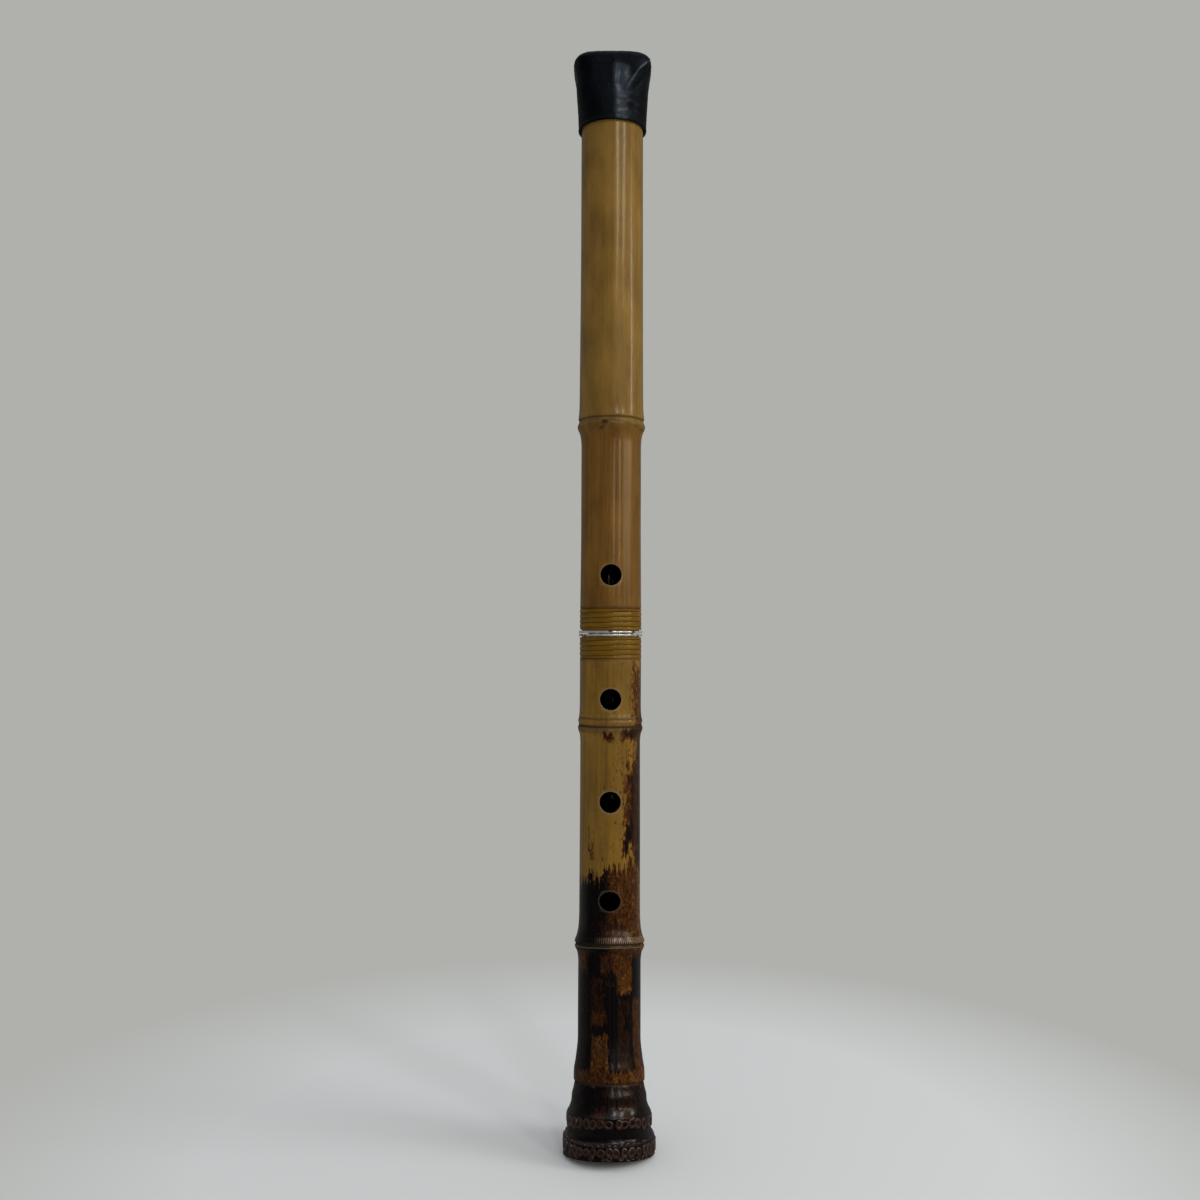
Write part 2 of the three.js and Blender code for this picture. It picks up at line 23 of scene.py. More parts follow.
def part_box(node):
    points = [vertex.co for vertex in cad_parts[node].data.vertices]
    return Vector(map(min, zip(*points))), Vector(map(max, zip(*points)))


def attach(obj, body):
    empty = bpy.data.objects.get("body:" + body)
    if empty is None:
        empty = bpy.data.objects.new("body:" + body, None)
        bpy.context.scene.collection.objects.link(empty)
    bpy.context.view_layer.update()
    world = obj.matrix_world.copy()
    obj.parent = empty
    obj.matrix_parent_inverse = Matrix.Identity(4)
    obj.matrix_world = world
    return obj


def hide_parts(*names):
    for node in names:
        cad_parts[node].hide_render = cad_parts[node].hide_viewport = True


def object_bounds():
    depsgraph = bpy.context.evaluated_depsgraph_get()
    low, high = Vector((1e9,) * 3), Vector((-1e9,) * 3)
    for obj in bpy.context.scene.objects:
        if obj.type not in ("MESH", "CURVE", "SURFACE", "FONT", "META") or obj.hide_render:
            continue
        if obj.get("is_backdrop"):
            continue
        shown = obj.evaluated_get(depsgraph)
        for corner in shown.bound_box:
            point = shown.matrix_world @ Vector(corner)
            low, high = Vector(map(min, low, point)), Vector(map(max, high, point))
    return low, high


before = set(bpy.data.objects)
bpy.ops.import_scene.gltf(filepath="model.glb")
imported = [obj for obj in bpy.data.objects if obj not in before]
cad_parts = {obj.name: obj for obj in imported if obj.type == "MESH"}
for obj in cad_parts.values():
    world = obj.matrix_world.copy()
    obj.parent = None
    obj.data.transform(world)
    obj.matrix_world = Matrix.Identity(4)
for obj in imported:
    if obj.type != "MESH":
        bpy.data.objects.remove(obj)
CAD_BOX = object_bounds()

MM = 0.001
COLUMNS = 96
HOLE_CELLS = 5
HOLE_ROWS = 8
CROWDED = 0.12
DEGREES_PER_MM = 3.4
SMOOTH_ANGLE = 38
LOG = logging.getLogger("flute")

Object = bpy.types.Object
Material = bpy.types.Material
Input = bpy.types.NodeSocket | float | Sequence[float] | str | None
Add = Callable[..., Input]
Outline = list[tuple[float, float]]
Stations = Sequence[tuple[float, float]]
Spacing = Callable[[float], float]
Swell = tuple[float, tuple[float, float, float], float]


class Body(str, Enum):
    """The CAD bodies that pieces ride on."""

    LOWER = "lower_flute"
    COLLAR = "joint_collar"
    UPPER = "upper_flute"
    CAP = "mouth_cap"


class Slot(str, Enum):
    """The record's material slots."""

    GOLDEN_BAMBOO = "golden_bamboo"
    ROOT_BAMBOO = "root_bamboo"
    LACQUER = "black_lacquer"
    HORN = "horn"
    SILVER = "silver"
    RATTAN = "rattan"
    LEATHER = "black_leather"
    FELT = "dark_felt"


class Cut(str, Enum):
    """What a boolean cut leaves: the object without the tool, or what the two share."""

    OUTSIDE = "DIFFERENCE"
    INSIDE = "INTERSECT"


# Numbers


def lerp(low: float, high: float, share: float) -> float:
    """Returns the value at a share of the way from low to high."""
    return low + (high - low) * share


def smooth(share: np.ndarray | float) -> np.ndarray | float:
    """Returns a share from 0 to 1, eased at both ends and held there beyond them."""
    held = np.clip(share, 0, 1)
    return held * held * (3 - 2 * held)


def bell(off: np.ndarray | float) -> np.ndarray | float:
    """Returns 1 in the middle, falling off as a bell curve to nearly 0 at 2."""
    return np.exp(-(off**2))


def spans(stations: Stations, at: np.ndarray) -> tuple[np.ndarray, np.ndarray, np.ndarray, np.ndarray]:
    """Finds the span between two stations that each place falls in.

    Args:
        stations: Pairs of place and value, lowest place first.
        at: Places to read.

    Returns:
        The spans' lengths, the stations' values, the number of each place's span, and its share of the way.
    """
    places, values = np.array(stations, float).T
    run = np.diff(places)
    step = np.clip(np.searchsorted(places, at, side="right") - 1, 0, len(run) - 1)
    return run, values, step, np.clip((at - places[step]) / run[step], 0, 1)


def eased(stations: Stations, at: np.ndarray) -> np.ndarray:
    """Returns values at places between stations, which ease into each station."""
    _, values, step, share = spans(stations, at)
    return lerp(values[step], values[step + 1], smooth(share))


def flowing(stations: Stations, at: np.ndarray) -> np.ndarray:
    """Reads one smooth curve through all stations that never swings past them.

    Args:
        stations: Pairs of place and value, lowest place first.
        at: Places to read.

    Returns:
        The values at those places.
    """
    run, values, step, t = spans(stations, at)
    slope = np.diff(values) / run
    tangent = np.concatenate([[slope[0]], np.zeros(len(slope) - 1), [slope[-1]]])
    same = slope[1:] * slope[:-1] > 0
    a, b = 2 * run[1:] + run[:-1], run[1:] + 2 * run[:-1]
    inner = (a + b) / (a / np.where(same, slope[:-1], 1) + b / np.where(same, slope[1:], 1))
    tangent[1:-1] = np.where(same, inner, 0)
    return (
        (1 + 2 * t) * (1 - t) ** 2 * values[step]
        + t * (1 - t) ** 2 * run[step] * tangent[step]
        + t * t * (3 - 2 * t) * values[step + 1]
        + t * t * (t - 1) * run[step] * tangent[step + 1]
    )


def skin(stations: Stations, rows: list[float]) -> Outline:
    """Returns radius and height at rows, on one smooth curve through (height, radius) stations."""
    return list(zip(flowing(stations, np.array(rows)).tolist(), rows))


def rows_between(low: float, high: float, fixed: Sequence[float], spacing: Spacing) -> list[float]:
    """Heights of mesh rows from low to high, through the fixed ones, no further apart than the spacing.

    Args:
        low: Lowest row.
        high: Highest row.
        fixed: Rows that have to be there; those that crowd an earlier one are left out.
        spacing: Widest gap between rows at a height.

    Returns:
        The heights, lowest first.
    """
    kept = [low, high]
    for height in fixed:
        if low < height < high and min(abs(height - other) for other in kept) > CROWDED:
            kept.append(height)
    kept.sort()
    rows = []
    for start, end in zip(kept, kept[1:]):
        cuts = max(1, math.ceil((end - start) / spacing((start + end) / 2) - 0.01))
        rows += [lerp(start, end, k / cuts) for k in range(cuts)]
    return rows + [high]


# The flute's form


@dataclass(frozen=True)
class FluteAxis:
    """How the root end sways forward, and how the growth rings lie aslant on it."""

    y: float
    bend_start: float = 130
    sway: float = 8
    easing: float = 6
    rises: Stations = (
        (0, 0.24), (9.2, 0.13), (12.6, 0.3), (20.2, 0.2), (33.9, 0.24), (101.42, 0.17), (150, 0)
    )
    back_shares: Stations = ((0, 0), (9.2, 0), (12.6, 0.2), (20.2, 0.5), (33.9, 1), (101.42, 1), (150, 1))

    def bend(self, points: np.ndarray) -> np.ndarray:
        """Straight points in mm, moved to where they lie on the real culm, in metres.

        Args:
            points: Rows of x, y and z round the straight axis.

        Returns:
            The same rows in the row frame.
        """
        x, depth, height = points.T
        bent = np.maximum(0, (self.bend_start - height) / self.bend_start)
        rise, back = eased(self.rises, height), eased(self.back_shares, height)
        near = np.maximum(depth, -self.easing)
        front = near * near / (2 * self.easing) + near - depth
        lift = np.where(depth > 0, -rise * back * depth, rise * (front * (1 - back) - depth * back))
        return np.column_stack([x, depth - self.sway * bent * bent + self.y, height + lift]) * MM


@dataclass(frozen=True)
class GrowthNode:
    """A growth node: its groove's height, the radii round it, and how far it swells up and down."""

    height: float
    above: float
    lip: float
    groove: float
    bulge: float
    below: float
    flare: float
    lip_height: float
    bulge_drop: float
    fall: float
    swells: tuple[float, float] = (0.55, 0.15)

    def stations(self) -> list[tuple[float, float]]:
        """Shapes the node's swelling, its groove and the lip over it.

        Returns:
            Pairs of height and radius, from the tube below the node to the tube above it.
        """
        shape = [
            (-self.fall, self.below),
            (-lerp(self.bulge_drop, self.fall, 0.45), lerp(self.below, self.bulge, 0.25)),
            (-self.bulge_drop, self.bulge),
            (0, self.groove),
            (self.lip_height, self.lip),
            (lerp(self.lip_height, self.flare, 0.2), lerp(self.above, self.lip, self.swells[0])),
            (lerp(self.lip_height, self.flare, 0.5), lerp(self.above, self.lip, self.swells[1])),
            (self.flare, self.above),
        ]
        return [(self.height + rise, radius) for rise, radius in shape]


@dataclass(frozen=True)
class FingerHole:
    """A finger hole through one wall: its height and side, -1 in front and 1 at the back."""

    height: float
    side: int
    radius: float = 5.2


@dataclass(frozen=True)
class FluteForm:
    """The sizes that the flute's pieces share."""

    length: float = 545
    joint: float = 257.5
    glue_gap: float = 0.3
    slide_gap: float = 0.3
    seam_gap: float = 0.3
    film: float = 0.02
    joint_radius: float = 15.5
    hand_radius: float = 15.2
    shoulder_radius: float = 15.8
    mouth_radius: float = 16.1
    mouth_flare: float = 25
    mouth_rounding: float = 0.8
    mouth_corner: float = 0.25
    middle_radius: float = 15.15
    lower_radius: float = 15.4
    root_radius: float = 15.75
    rind_depth: float = 13
    lining: float = 1.2
    tenon_radius: float = 11.4
    tenon_bore: float = 8.9
    tenon_foot: float = 231.51
    tenon_head: float = 277.58
    socket_wall: float = 0.7
    seat_radius: float = 14.6
    seat_edge: float = 0.15
    seat_bevel: float = 0.3
    chamfer: float = 0.2
    ring_height: float = 1.45
    ring_flange: float = 0.6
    binding_length: float = 10.3
    second_node: GrowthNode = GrowthNode(365.7, 16.25, 16.8, 16.45, 17.25, 15.2, 14, 0.9, 3, 13)
    third_node: GrowthNode = GrowthNode(212.39, 15.5, 16.3, 16, 16.45, 15.15, 10, 0.9, 2.5, 10)
    fourth_node: GrowthNode = GrowthNode(101.42, 15.4, 17.7, 17.2, 17.6, 15.75, 16, 1, 1, 9)
    fifth_node: GrowthNode = GrowthNode(33.9, 15.75, 17.8, 17.45, 17.9, 18.9, 22, 1, 3, 9, (0.97, 0.5))
    front_shares: tuple[float, ...] = (0.2273, 0.3193, 0.4125, 0.5262)
    thumb_share: float = 0.5853
    bores: Stations = ((0, 9.3), (28, 8.025), (85, 7.6), (231.51, 8.8), (277.58, 9), (545, 10))

    @property
    def holes(self) -> list[FingerHole]:
        """The holes: three in the lower section, then one in front and the thumb hole in the upper one."""
        front = [FingerHole(share * self.length, -1) for share in self.front_shares]
        return [*front, FingerHole(self.thumb_share * self.length, 1)]

    def seat(self, way: int) -> tuple[float, float, float]:
        """Heights at the joint on one side of the seam.

        Args:
            way: 1 for the upper section, -1 for the lower one.

        Returns:
            The end of the bamboo, the start of its binding, and the end of the binding's recess.
        """
        face = self.joint + way * self.seam_gap / 2
        binding = face + way * (self.ring_height + self.glue_gap)
        recess = binding + way * (self.binding_length + self.glue_gap)
        return face + way * (self.ring_flange + self.glue_gap), binding, recess

    def seat_rows(self, start: float, stop: float) -> Outline:
        """Returns radius and height of the rows under a binding, from one height to another."""
        return [(self.seat_radius, lerp(start, stop, share)) for share in (0, 0.33, 0.66, 1)]

    def bore(self, height: float) -> float:
        """Returns the bore's radius at a height."""
        return float(np.interp(height, *zip(*self.bores)))

    def hollow_rows(self, rows: list[float], film: float = 0) -> Outline:
        """Returns radius and height where the bamboo's wall begins, less a film, behind the lining."""
        return [(self.bore(height) + self.lining + self.glue_gap - film, height) for height in rows]


FORM = FluteForm()
_low, _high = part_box("tenon")
AXIS = FluteAxis(y=(_low.y + _high.y) / 2 / MM)


# Working on meshes


def pick(*objects: Object) -> None:
    """Leaves edit mode and selects some objects alone, for the next operator.

    Args:
        objects: The objects, the first of which is made active.
    """
    if bpy.context.object and bpy.context.object.mode != "OBJECT":
        bpy.ops.object.mode_set(mode="OBJECT")
    bpy.ops.object.select_all(action="DESELECT")
    for obj in objects:
        obj.select_set(True)
        bpy.context.view_layer.objects.active = objects[0]


@contextmanager
def editing(obj: Object, faces: bool = False, selected: bool = True) -> Iterator[bmesh.types.BMesh]:
    """Opens an object in edit mode, and leaves it again.

    Args:
        obj: The object.
        faces: Whether faces are selected, and not edges.
        selected: Whether all of it is selected at first.

    Yields:
        Its mesh, for selecting by place.
    """
    pick(obj)
    bpy.ops.object.mode_set(mode="EDIT")
    bpy.ops.mesh.select_mode(type="FACE" if faces else "EDGE")
    bpy.ops.mesh.select_all(action="SELECT" if selected else "DESELECT")
    yield bmesh.from_edit_mesh(obj.data)
    bpy.ops.object.mode_set(mode="OBJECT")


def cap_ends() -> None:
    """Closes the open rims of the mesh in edit mode, and turns its faces outwards."""
    bpy.ops.mesh.select_non_manifold(extend=False)
    bpy.ops.mesh.edge_face_add()
    bpy.ops.mesh.select_all(action="SELECT")
    bpy.ops.mesh.normals_make_consistent(inside=False)


def weld(obj: Object) -> None:
    """Merges an object's doubled vertices and turns its faces outwards.

    Args:
        obj: The object to change.
    """
    with editing(obj):
        bpy.ops.mesh.remove_doubles(threshold=0.002 * MM)
        bpy.ops.mesh.normals_make_consistent(inside=False)


def boolean(obj: Object, tool: Object, leave: Cut) -> None:
    """Cuts an object with a tool, which is then removed.

    Args:
        obj: The object to change.
        tool: A closed mesh.
        leave: What the cut leaves.
    """
    pick(obj)
    cut = obj.modifiers.new("cut", "BOOLEAN")
    cut.object, cut.operation, cut.solver = tool, leave.value, "EXACT"
    bpy.ops.object.modifier_apply(modifier=cut.name)
    bpy.data.objects.remove(tool)


def joined(name: str, objects: Sequence[Object]) -> Object:
    """Joins several objects.

    Args:
        name: Name of the piece.
        objects: The objects.

    Returns:
        The one object that they are now.
    """
    pick(*objects)
    bpy.ops.object.join()
    objects[0].name = objects[0].data.name = name
    return objects[0]


def points_of(obj: Object) -> np.ndarray:
    """Reads where an object's vertices are.

    Args:
        obj: The object.

    Returns:
        A row of x, y and z in mm for each vertex.
    """
    flat = np.zeros(len(obj.data.vertices) * 3)
    obj.data.vertices.foreach_get("co", flat)
    return flat.reshape(-1, 3) / MM


def place(obj: Object, metres: np.ndarray) -> None:
    """Moves an object's vertices to rows of x, y and z in metres."""
    obj.data.vertices.foreach_set("co", metres.astype(np.float32).ravel())
    obj.data.update()


def bend(obj: Object) -> Object:
    """Bends a straight object on to the flute's axis and returns it."""
    place(obj, AXIS.bend(points_of(obj)))
    return obj


def keep_attribute(obj: Object, name: str, values: np.ndarray) -> None:
    """Stores a number or a vector for each vertex, for the materials to read.

    Args:
        obj: The object.
        name: Name of the attribute.
        values: A number, or a row of three, for each vertex.
    """
    kind, key = ("FLOAT_VECTOR", "vector") if values.ndim == 2 else ("FLOAT", "value")
    made = obj.data.attributes.new(name, kind, "POINT")
    made.data.foreach_set(key, values.astype(np.float32).ravel())


def noise_at(points: np.ndarray, sizes: tuple[float, float, float], seed: float = 0) -> np.ndarray:
    """Smooth noise from -1 to 1.

    Args:
        points: Rows of x, y and z in mm.
        sizes: Size of a swell along each axis, in mm.
        seed: Shift that makes one noise differ from another.

    Returns:
        One value for each row.
    """
    scaled = points / np.array(sizes) + seed
    return np.array([noise.noise(Vector(row)) for row in scaled])


def turned(name: str, outline: Outline, columns: int = COLUMNS) -> tuple[Object, np.ndarray]:
    """A closed solid of revolution, from an open cylinder cut into rows that are then set to an outline.

    Args:
        name: Name of the piece.
        outline: Radius and height of each row, up the outside and down the inside.
        columns: Number of vertices round it.

    Returns:
        The new object, and the number of its vertex at each row and column.
    """
    pick()
    bpy.ops.mesh.primitive_cylinder_add(vertices=columns, radius=1, depth=2, end_fill_type="NOTHING")
    obj = bpy.context.object
    obj.name = obj.data.name = name
    with editing(obj, selected=False) as mesh:
        for edge in mesh.edges:
            edge.select_set(abs(edge.verts[0].co.z - edge.verts[1].co.z) > 1)
        bmesh.update_edit_mesh(obj.data)
        bpy.ops.mesh.subdivide_edgering(number_cuts=len(outline) - 2, interpolation="LINEAR", smoothness=0)
        bpy.ops.mesh.select_non_manifold(extend=False)
        bpy.ops.mesh.bridge_edge_loops()
    x, y, z = (points_of(obj) * MM).T
    row = np.rint((z + 1) / 2 * (len(outline) - 1)).astype(int)
    column = np.rint(np.arctan2(y, x) / (2 * math.pi) * columns).astype(int) % columns
    number = np.zeros((len(outline), columns), int)
    number[row, column] = np.arange(len(row))
    radius, height = np.array(outline).T
    turn = 2 * math.pi * column / columns
    place(obj, np.column_stack([radius[row] * np.cos(turn), radius[row] * np.sin(turn), height[row]]) * MM)
    with editing(obj):
        bpy.ops.mesh.normals_make_consistent(inside=False)
    return obj, number


@dataclass(frozen=True)
class PiercedTube:
    """A turned tube with round finger holes, each on a patch of its own rows and columns.

    The square of cells over a hole is spread to the hole's circle and deleted, the two round openings in the
    outside and the inside of the wall are bridged, and the outer rim is bevelled.
    """

    name: str
    outside: Outline
    inside: Outline
    holes: Sequence[FingerHole]
    materials: Sequence[Material] = ()
    rim: float = 0.35
    reach_outside: int = 12
    reach_inside: int = 20
    rows_outside: int = 8
    rows_inside: int = 8

    @staticmethod
    def rows(holes: Sequence[FingerHole]) -> list[float]:
        """Returns the heights of the mesh rows that holes need."""
        steps = range(-HOLE_ROWS, HOLE_ROWS + 1)
        return [hole.height + k * hole.radius / HOLE_CELLS for hole in holes for k in steps]

    @staticmethod
    def cells(grid: np.ndarray, hole: FingerHole, reach: int, rows: int) -> Iterator[tuple[int, ...]]:
        """Goes over a patch round a hole.

        Args:
            grid: Points in mm by row and column.
            hole: The finger hole.
            reach: How many columns to each side take part.
            rows: How many rows above and below take part.

        Yields:
            Each point's row and column in the grid, and its column and row counted from the hole's middle.
        """
        centre = int(np.argmin(np.abs(grid[:, 0, 2] - hole.height)))
        middle = COLUMNS * (3 if hole.side < 0 else 1) // 4
        for j in range(-rows, rows + 1):
            for i in range(-reach, reach + 1):
                yield centre + j, (middle + i) % COLUMNS, i, j

    def spread(self, grid: np.ndarray, hole: FingerHole, reach: int, rows: int) -> None:
        """Spreads the cells over a hole to its circle, on one surface of the tube.

        Args:
            grid: Points in mm by row and column, changed in place.
            hole: The finger hole.
            reach: How many columns to each side take part.
            rows: How many rows above and below take part.
        """
        cell, turn = hole.radius / HOLE_CELLS, 2 * math.pi / COLUMNS
        for row, column, i, j in self.cells(grid, hole, reach, rows):
            radius = math.hypot(*grid[row, column, :2])
            sideways = (abs(i) - HOLE_CELLS) / (reach - HOLE_CELLS)
            beyond = max(sideways, (abs(j) - HOLE_CELLS) / (rows - HOLE_CELLS), 0)
            u = i / lerp(HOLE_CELLS, reach, beyond)
            v = j / lerp(HOLE_CELLS, rows, beyond)
            size = max(abs(u), abs(v))
            if size == 0:
                continue
            if abs(u) >= abs(v):
                angle = math.pi / 4 * v / u if u > 0 else math.pi + math.pi / 4 * v / u
            else:
                angle = math.copysign(math.pi / 2, v) - math.pi / 4 * u / v
            across = size * hole.radius * math.cos(angle)
            at = lerp(math.asin(max(-1, min(1, across / radius))), reach * u * turn, beyond)
            high = lerp(size * hole.radius * math.sin(angle), rows * v * cell, beyond)
            x, y = radius * math.sin(at), radius * math.cos(at)
            grid[row, column] = (-hole.side * x, hole.side * y, hole.height + high)

    def build(self) -> Object:
        """Builds the tube.

        Returns:
            The new object, still straight. The walls of its holes have the second material.
        """
        obj, order = turned(self.name, [*self.outside, *reversed(self.inside)])
        for material in self.materials:
            obj.data.materials.append(material)
        count = len(self.outside)
        grid = points_of(obj)[order]
        marks, outer = (np.zeros(grid.shape[:2], np.int32) for _ in range(2))
        outer[:count] = 1
        surfaces = (
            (slice(0, count), self.reach_outside, self.rows_outside),
            (slice(None, count - 1, -1), self.reach_inside, self.rows_inside),
        )
        for number, hole in enumerate(self.holes, 1):
            for surface, reach, rows in surfaces:
                for row, column, i, j in self.cells(grid[surface], hole, HOLE_CELLS, HOLE_CELLS):
                    on_rim = max(abs(i), abs(j)) == HOLE_CELLS
                    marks[surface][row, column] = -number if on_rim else number
                self.spread(grid[surface], hole, reach, rows)
        back = np.argsort(order.ravel())
        place(obj, grid.reshape(-1, 3)[back] * MM)
        for name, values in (("hole", marks), ("outer", outer)):
            obj.data.attributes.new(name, "INT", "POINT").data.foreach_set("value", values.ravel()[back])
        for number in range(1, len(self.holes) + 1):
            self.open(obj, number)
        return obj

    def open(self, obj: Object, number: int) -> None:
        """Deletes one hole's faces, bridges its two circles and bevels its outer rim.

        Args:
            obj: The tube.
            number: The hole's number, from 1.
        """
        with editing(obj, faces=True, selected=False) as mesh:
            hole = mesh.verts.layers.int["hole"]
            for face in mesh.faces:
                face.select_set(all(abs(vert[hole]) == number for vert in face.verts))
            bpy.ops.mesh.delete(type="FACE")
            bpy.ops.mesh.select_mode(type="EDGE")
            bpy.ops.mesh.select_non_manifold(extend=False)
            bpy.ops.mesh.bridge_edge_loops(number_cuts=2)
            if len(obj.material_slots) > 1:
                obj.active_material_index = 1
                bpy.ops.object.material_slot_assign()
            mesh = bmesh.from_edit_mesh(obj.data)
            hole, outer = mesh.verts.layers.int["hole"], mesh.verts.layers.int["outer"]
            for edge in mesh.edges:
                edge.select_set(all(vert[hole] == -number and vert[outer] for vert in edge.verts))
            if self.rim:
                bpy.ops.mesh.bevel(offset=self.rim * MM, segments=3, affect="EDGES")


# Finishes


def linear(code: str) -> tuple[float, float, float, float]:
    """Turns an sRGB colour to a linear one.

    Args:
        code: The colour's hex code, with its hash sign.

    Returns:
        Red, green, blue and alpha.
    """
    shares = [int(code[i : i + 2], 16) / 255 for i in (1, 3, 5)]
    red, green, blue = (s / 12.92 if s <= 0.04045 else ((s + 0.055) / 1.055) ** 2.4 for s in shares)
    return red, green, blue, 1.0


class Recipe:
    """A node tree in the making."""

    def __init__(self, tree: bpy.types.NodeTree) -> None:
        """Starts from an empty tree."""
        self.tree = tree
        tree.nodes.clear()

    def add(self, kind: str, *inputs: Input, out: int = 0, stops: Sequence = (), **settings: object) -> Input:
        """Adds a node with its settings and links.

        Args:
            kind: The node's type, without its prefix, and after a space its operation or its type of data.
            inputs: What goes into each input in order: a socket, a value, a hex colour, or None to leave it.
            out: Number of the output to return, among those in use.
            stops: Places and hex colours of a colour ramp.
            settings: Settings of the node, and inputs by name with _ for a space.

        Returns:
            One output of the new node.
        """
        kind, _, mode = kind.partition(" ")
        node = self.tree.nodes.new("ShaderNode" + kind)
        if mode:
            setattr(node, "operation" if hasattr(node, "operation") else "data_type", mode)
        named = {}
        for name, value in settings.items():
            if hasattr(node, name):
                setattr(node, name, value)
            else:
                named[name.replace("_", " ")] = value
        sockets = [socket for socket in node.inputs if socket.enabled]
        by_name = {socket.name: socket for socket in sockets}
        pairs = [(by_name[name], value) for name, value in named.items()]
        for socket, value in [*zip(sockets, inputs), *pairs]:
            if isinstance(value, bpy.types.NodeSocket):
                self.tree.links.new(value, socket)
            elif isinstance(value, str):
                socket.default_value = linear(value)
            elif value is not None:
                socket.default_value = value
        for i, (position, code) in enumerate(stops):
            elements = node.color_ramp.elements
            element = elements[i] if i < 2 else elements.new(position)
            element.position, element.color = position, linear(code)
        outputs = [socket for socket in node.outputs if socket.enabled]
        return outputs[out] if outputs else None


def new_material(name: str) -> tuple[Material, Recipe]:
    """Makes a node material with an empty tree.

    Args:
        name: Name of the material.

    Returns:
        The material, and the recipe of its tree.
    """
    material = bpy.data.materials.new(name)
    material.use_nodes = True
    return material, Recipe(material.node_tree)


def in_mm(add: Add) -> Input:
    """Returns the place on the piece, in mm."""
    return add("VectorMath SCALE", add("TexCoord", out=3), Scale=1 / MM)


def swells(add: Add, spot: Input, sizes: float | Sequence[float], detail: float, **settings: float) -> Input:
    """Adds noise of a real size.

    Args:
        add: Adds a node.
        spot: Place in mm.
        sizes: Millimetres of a swell, along all axes or along each.
        detail: Number of finer layers on it.
        settings: Other inputs of the noise.

    Returns:
        The noise, from 0 to 1.
    """
    sizes = (sizes,) * 3 if isinstance(sizes, (int, float)) else sizes
    scaled = add("VectorMath MULTIPLY", spot, [1 / size for size in sizes])
    return add("TexNoise", scaled, Scale=1.0, Detail=detail, **settings)


def away(add: Add, value: Input, centre: float) -> Input:
    """Returns how far a value is from a centre."""
    return add("Math ABSOLUTE", add("Math SUBTRACT", value, centre))


@dataclass(frozen=True)
class Finish:
    """A surface finish, whose material is made once."""

    name: str

    def surface(self, add: Add) -> Input:
        """Adds the finish's nodes.

        Args:
            add: Adds a node.

        Returns:
            The finish's shader.
        """
        raise NotImplementedError

    @cache
    def material(self) -> Material:
        """Makes the material, whose nodes are the finish's own.

        Returns:
            The material.
        """
        material, recipe = new_material(self.name)
        recipe.add("OutputMaterial", self.surface(recipe.add))
        return material


@dataclass(frozen=True)
class Stain:
    """A patch of the lower section's heat stain, as degrees to the right of the front and mm up the culm.

    Its depth is how dark it is, from 0 for bare rind through 0.3 for amber and 0.6 for brown to 1 for black.
    """

    left: float
    right: float
    low: float
    high: float
    depth: float
    blur: float = 0.8

    def paint(self, add: Add, spot: Input, under: Input) -> Input:
        """Paints the patch over what lies under it.

        Args:
            add: Adds a node.
            spot: Vector of degrees and height.
            under: Depth of the stain under the patch.

        Returns:
            The depth with the patch on it.
        """
        blurs = (self.blur * DEGREES_PER_MM, self.blur)
        sides = ((self.left, self.right), (self.low, self.high))
        centre = [(low + high) / 2 for low, high in sides]
        slopes = [-1 / (2 * blur) for blur in blurs]
        rises = [((high - low) / 2 + blur) / (2 * blur) for (low, high), blur in zip(sides, blurs)]
        off = add("VectorMath ABSOLUTE", add("VectorMath SUBTRACT", spot, (*centre, 0)))
        inside = add("SeparateXYZ", add("VectorMath MULTIPLY_ADD", off, (*slopes, 0), (*rises, 0)))
        mask = add("Math MINIMUM", inside, inside.node.outputs[1], use_clamp=True)
        return add("Mix", mask, under, self.depth)


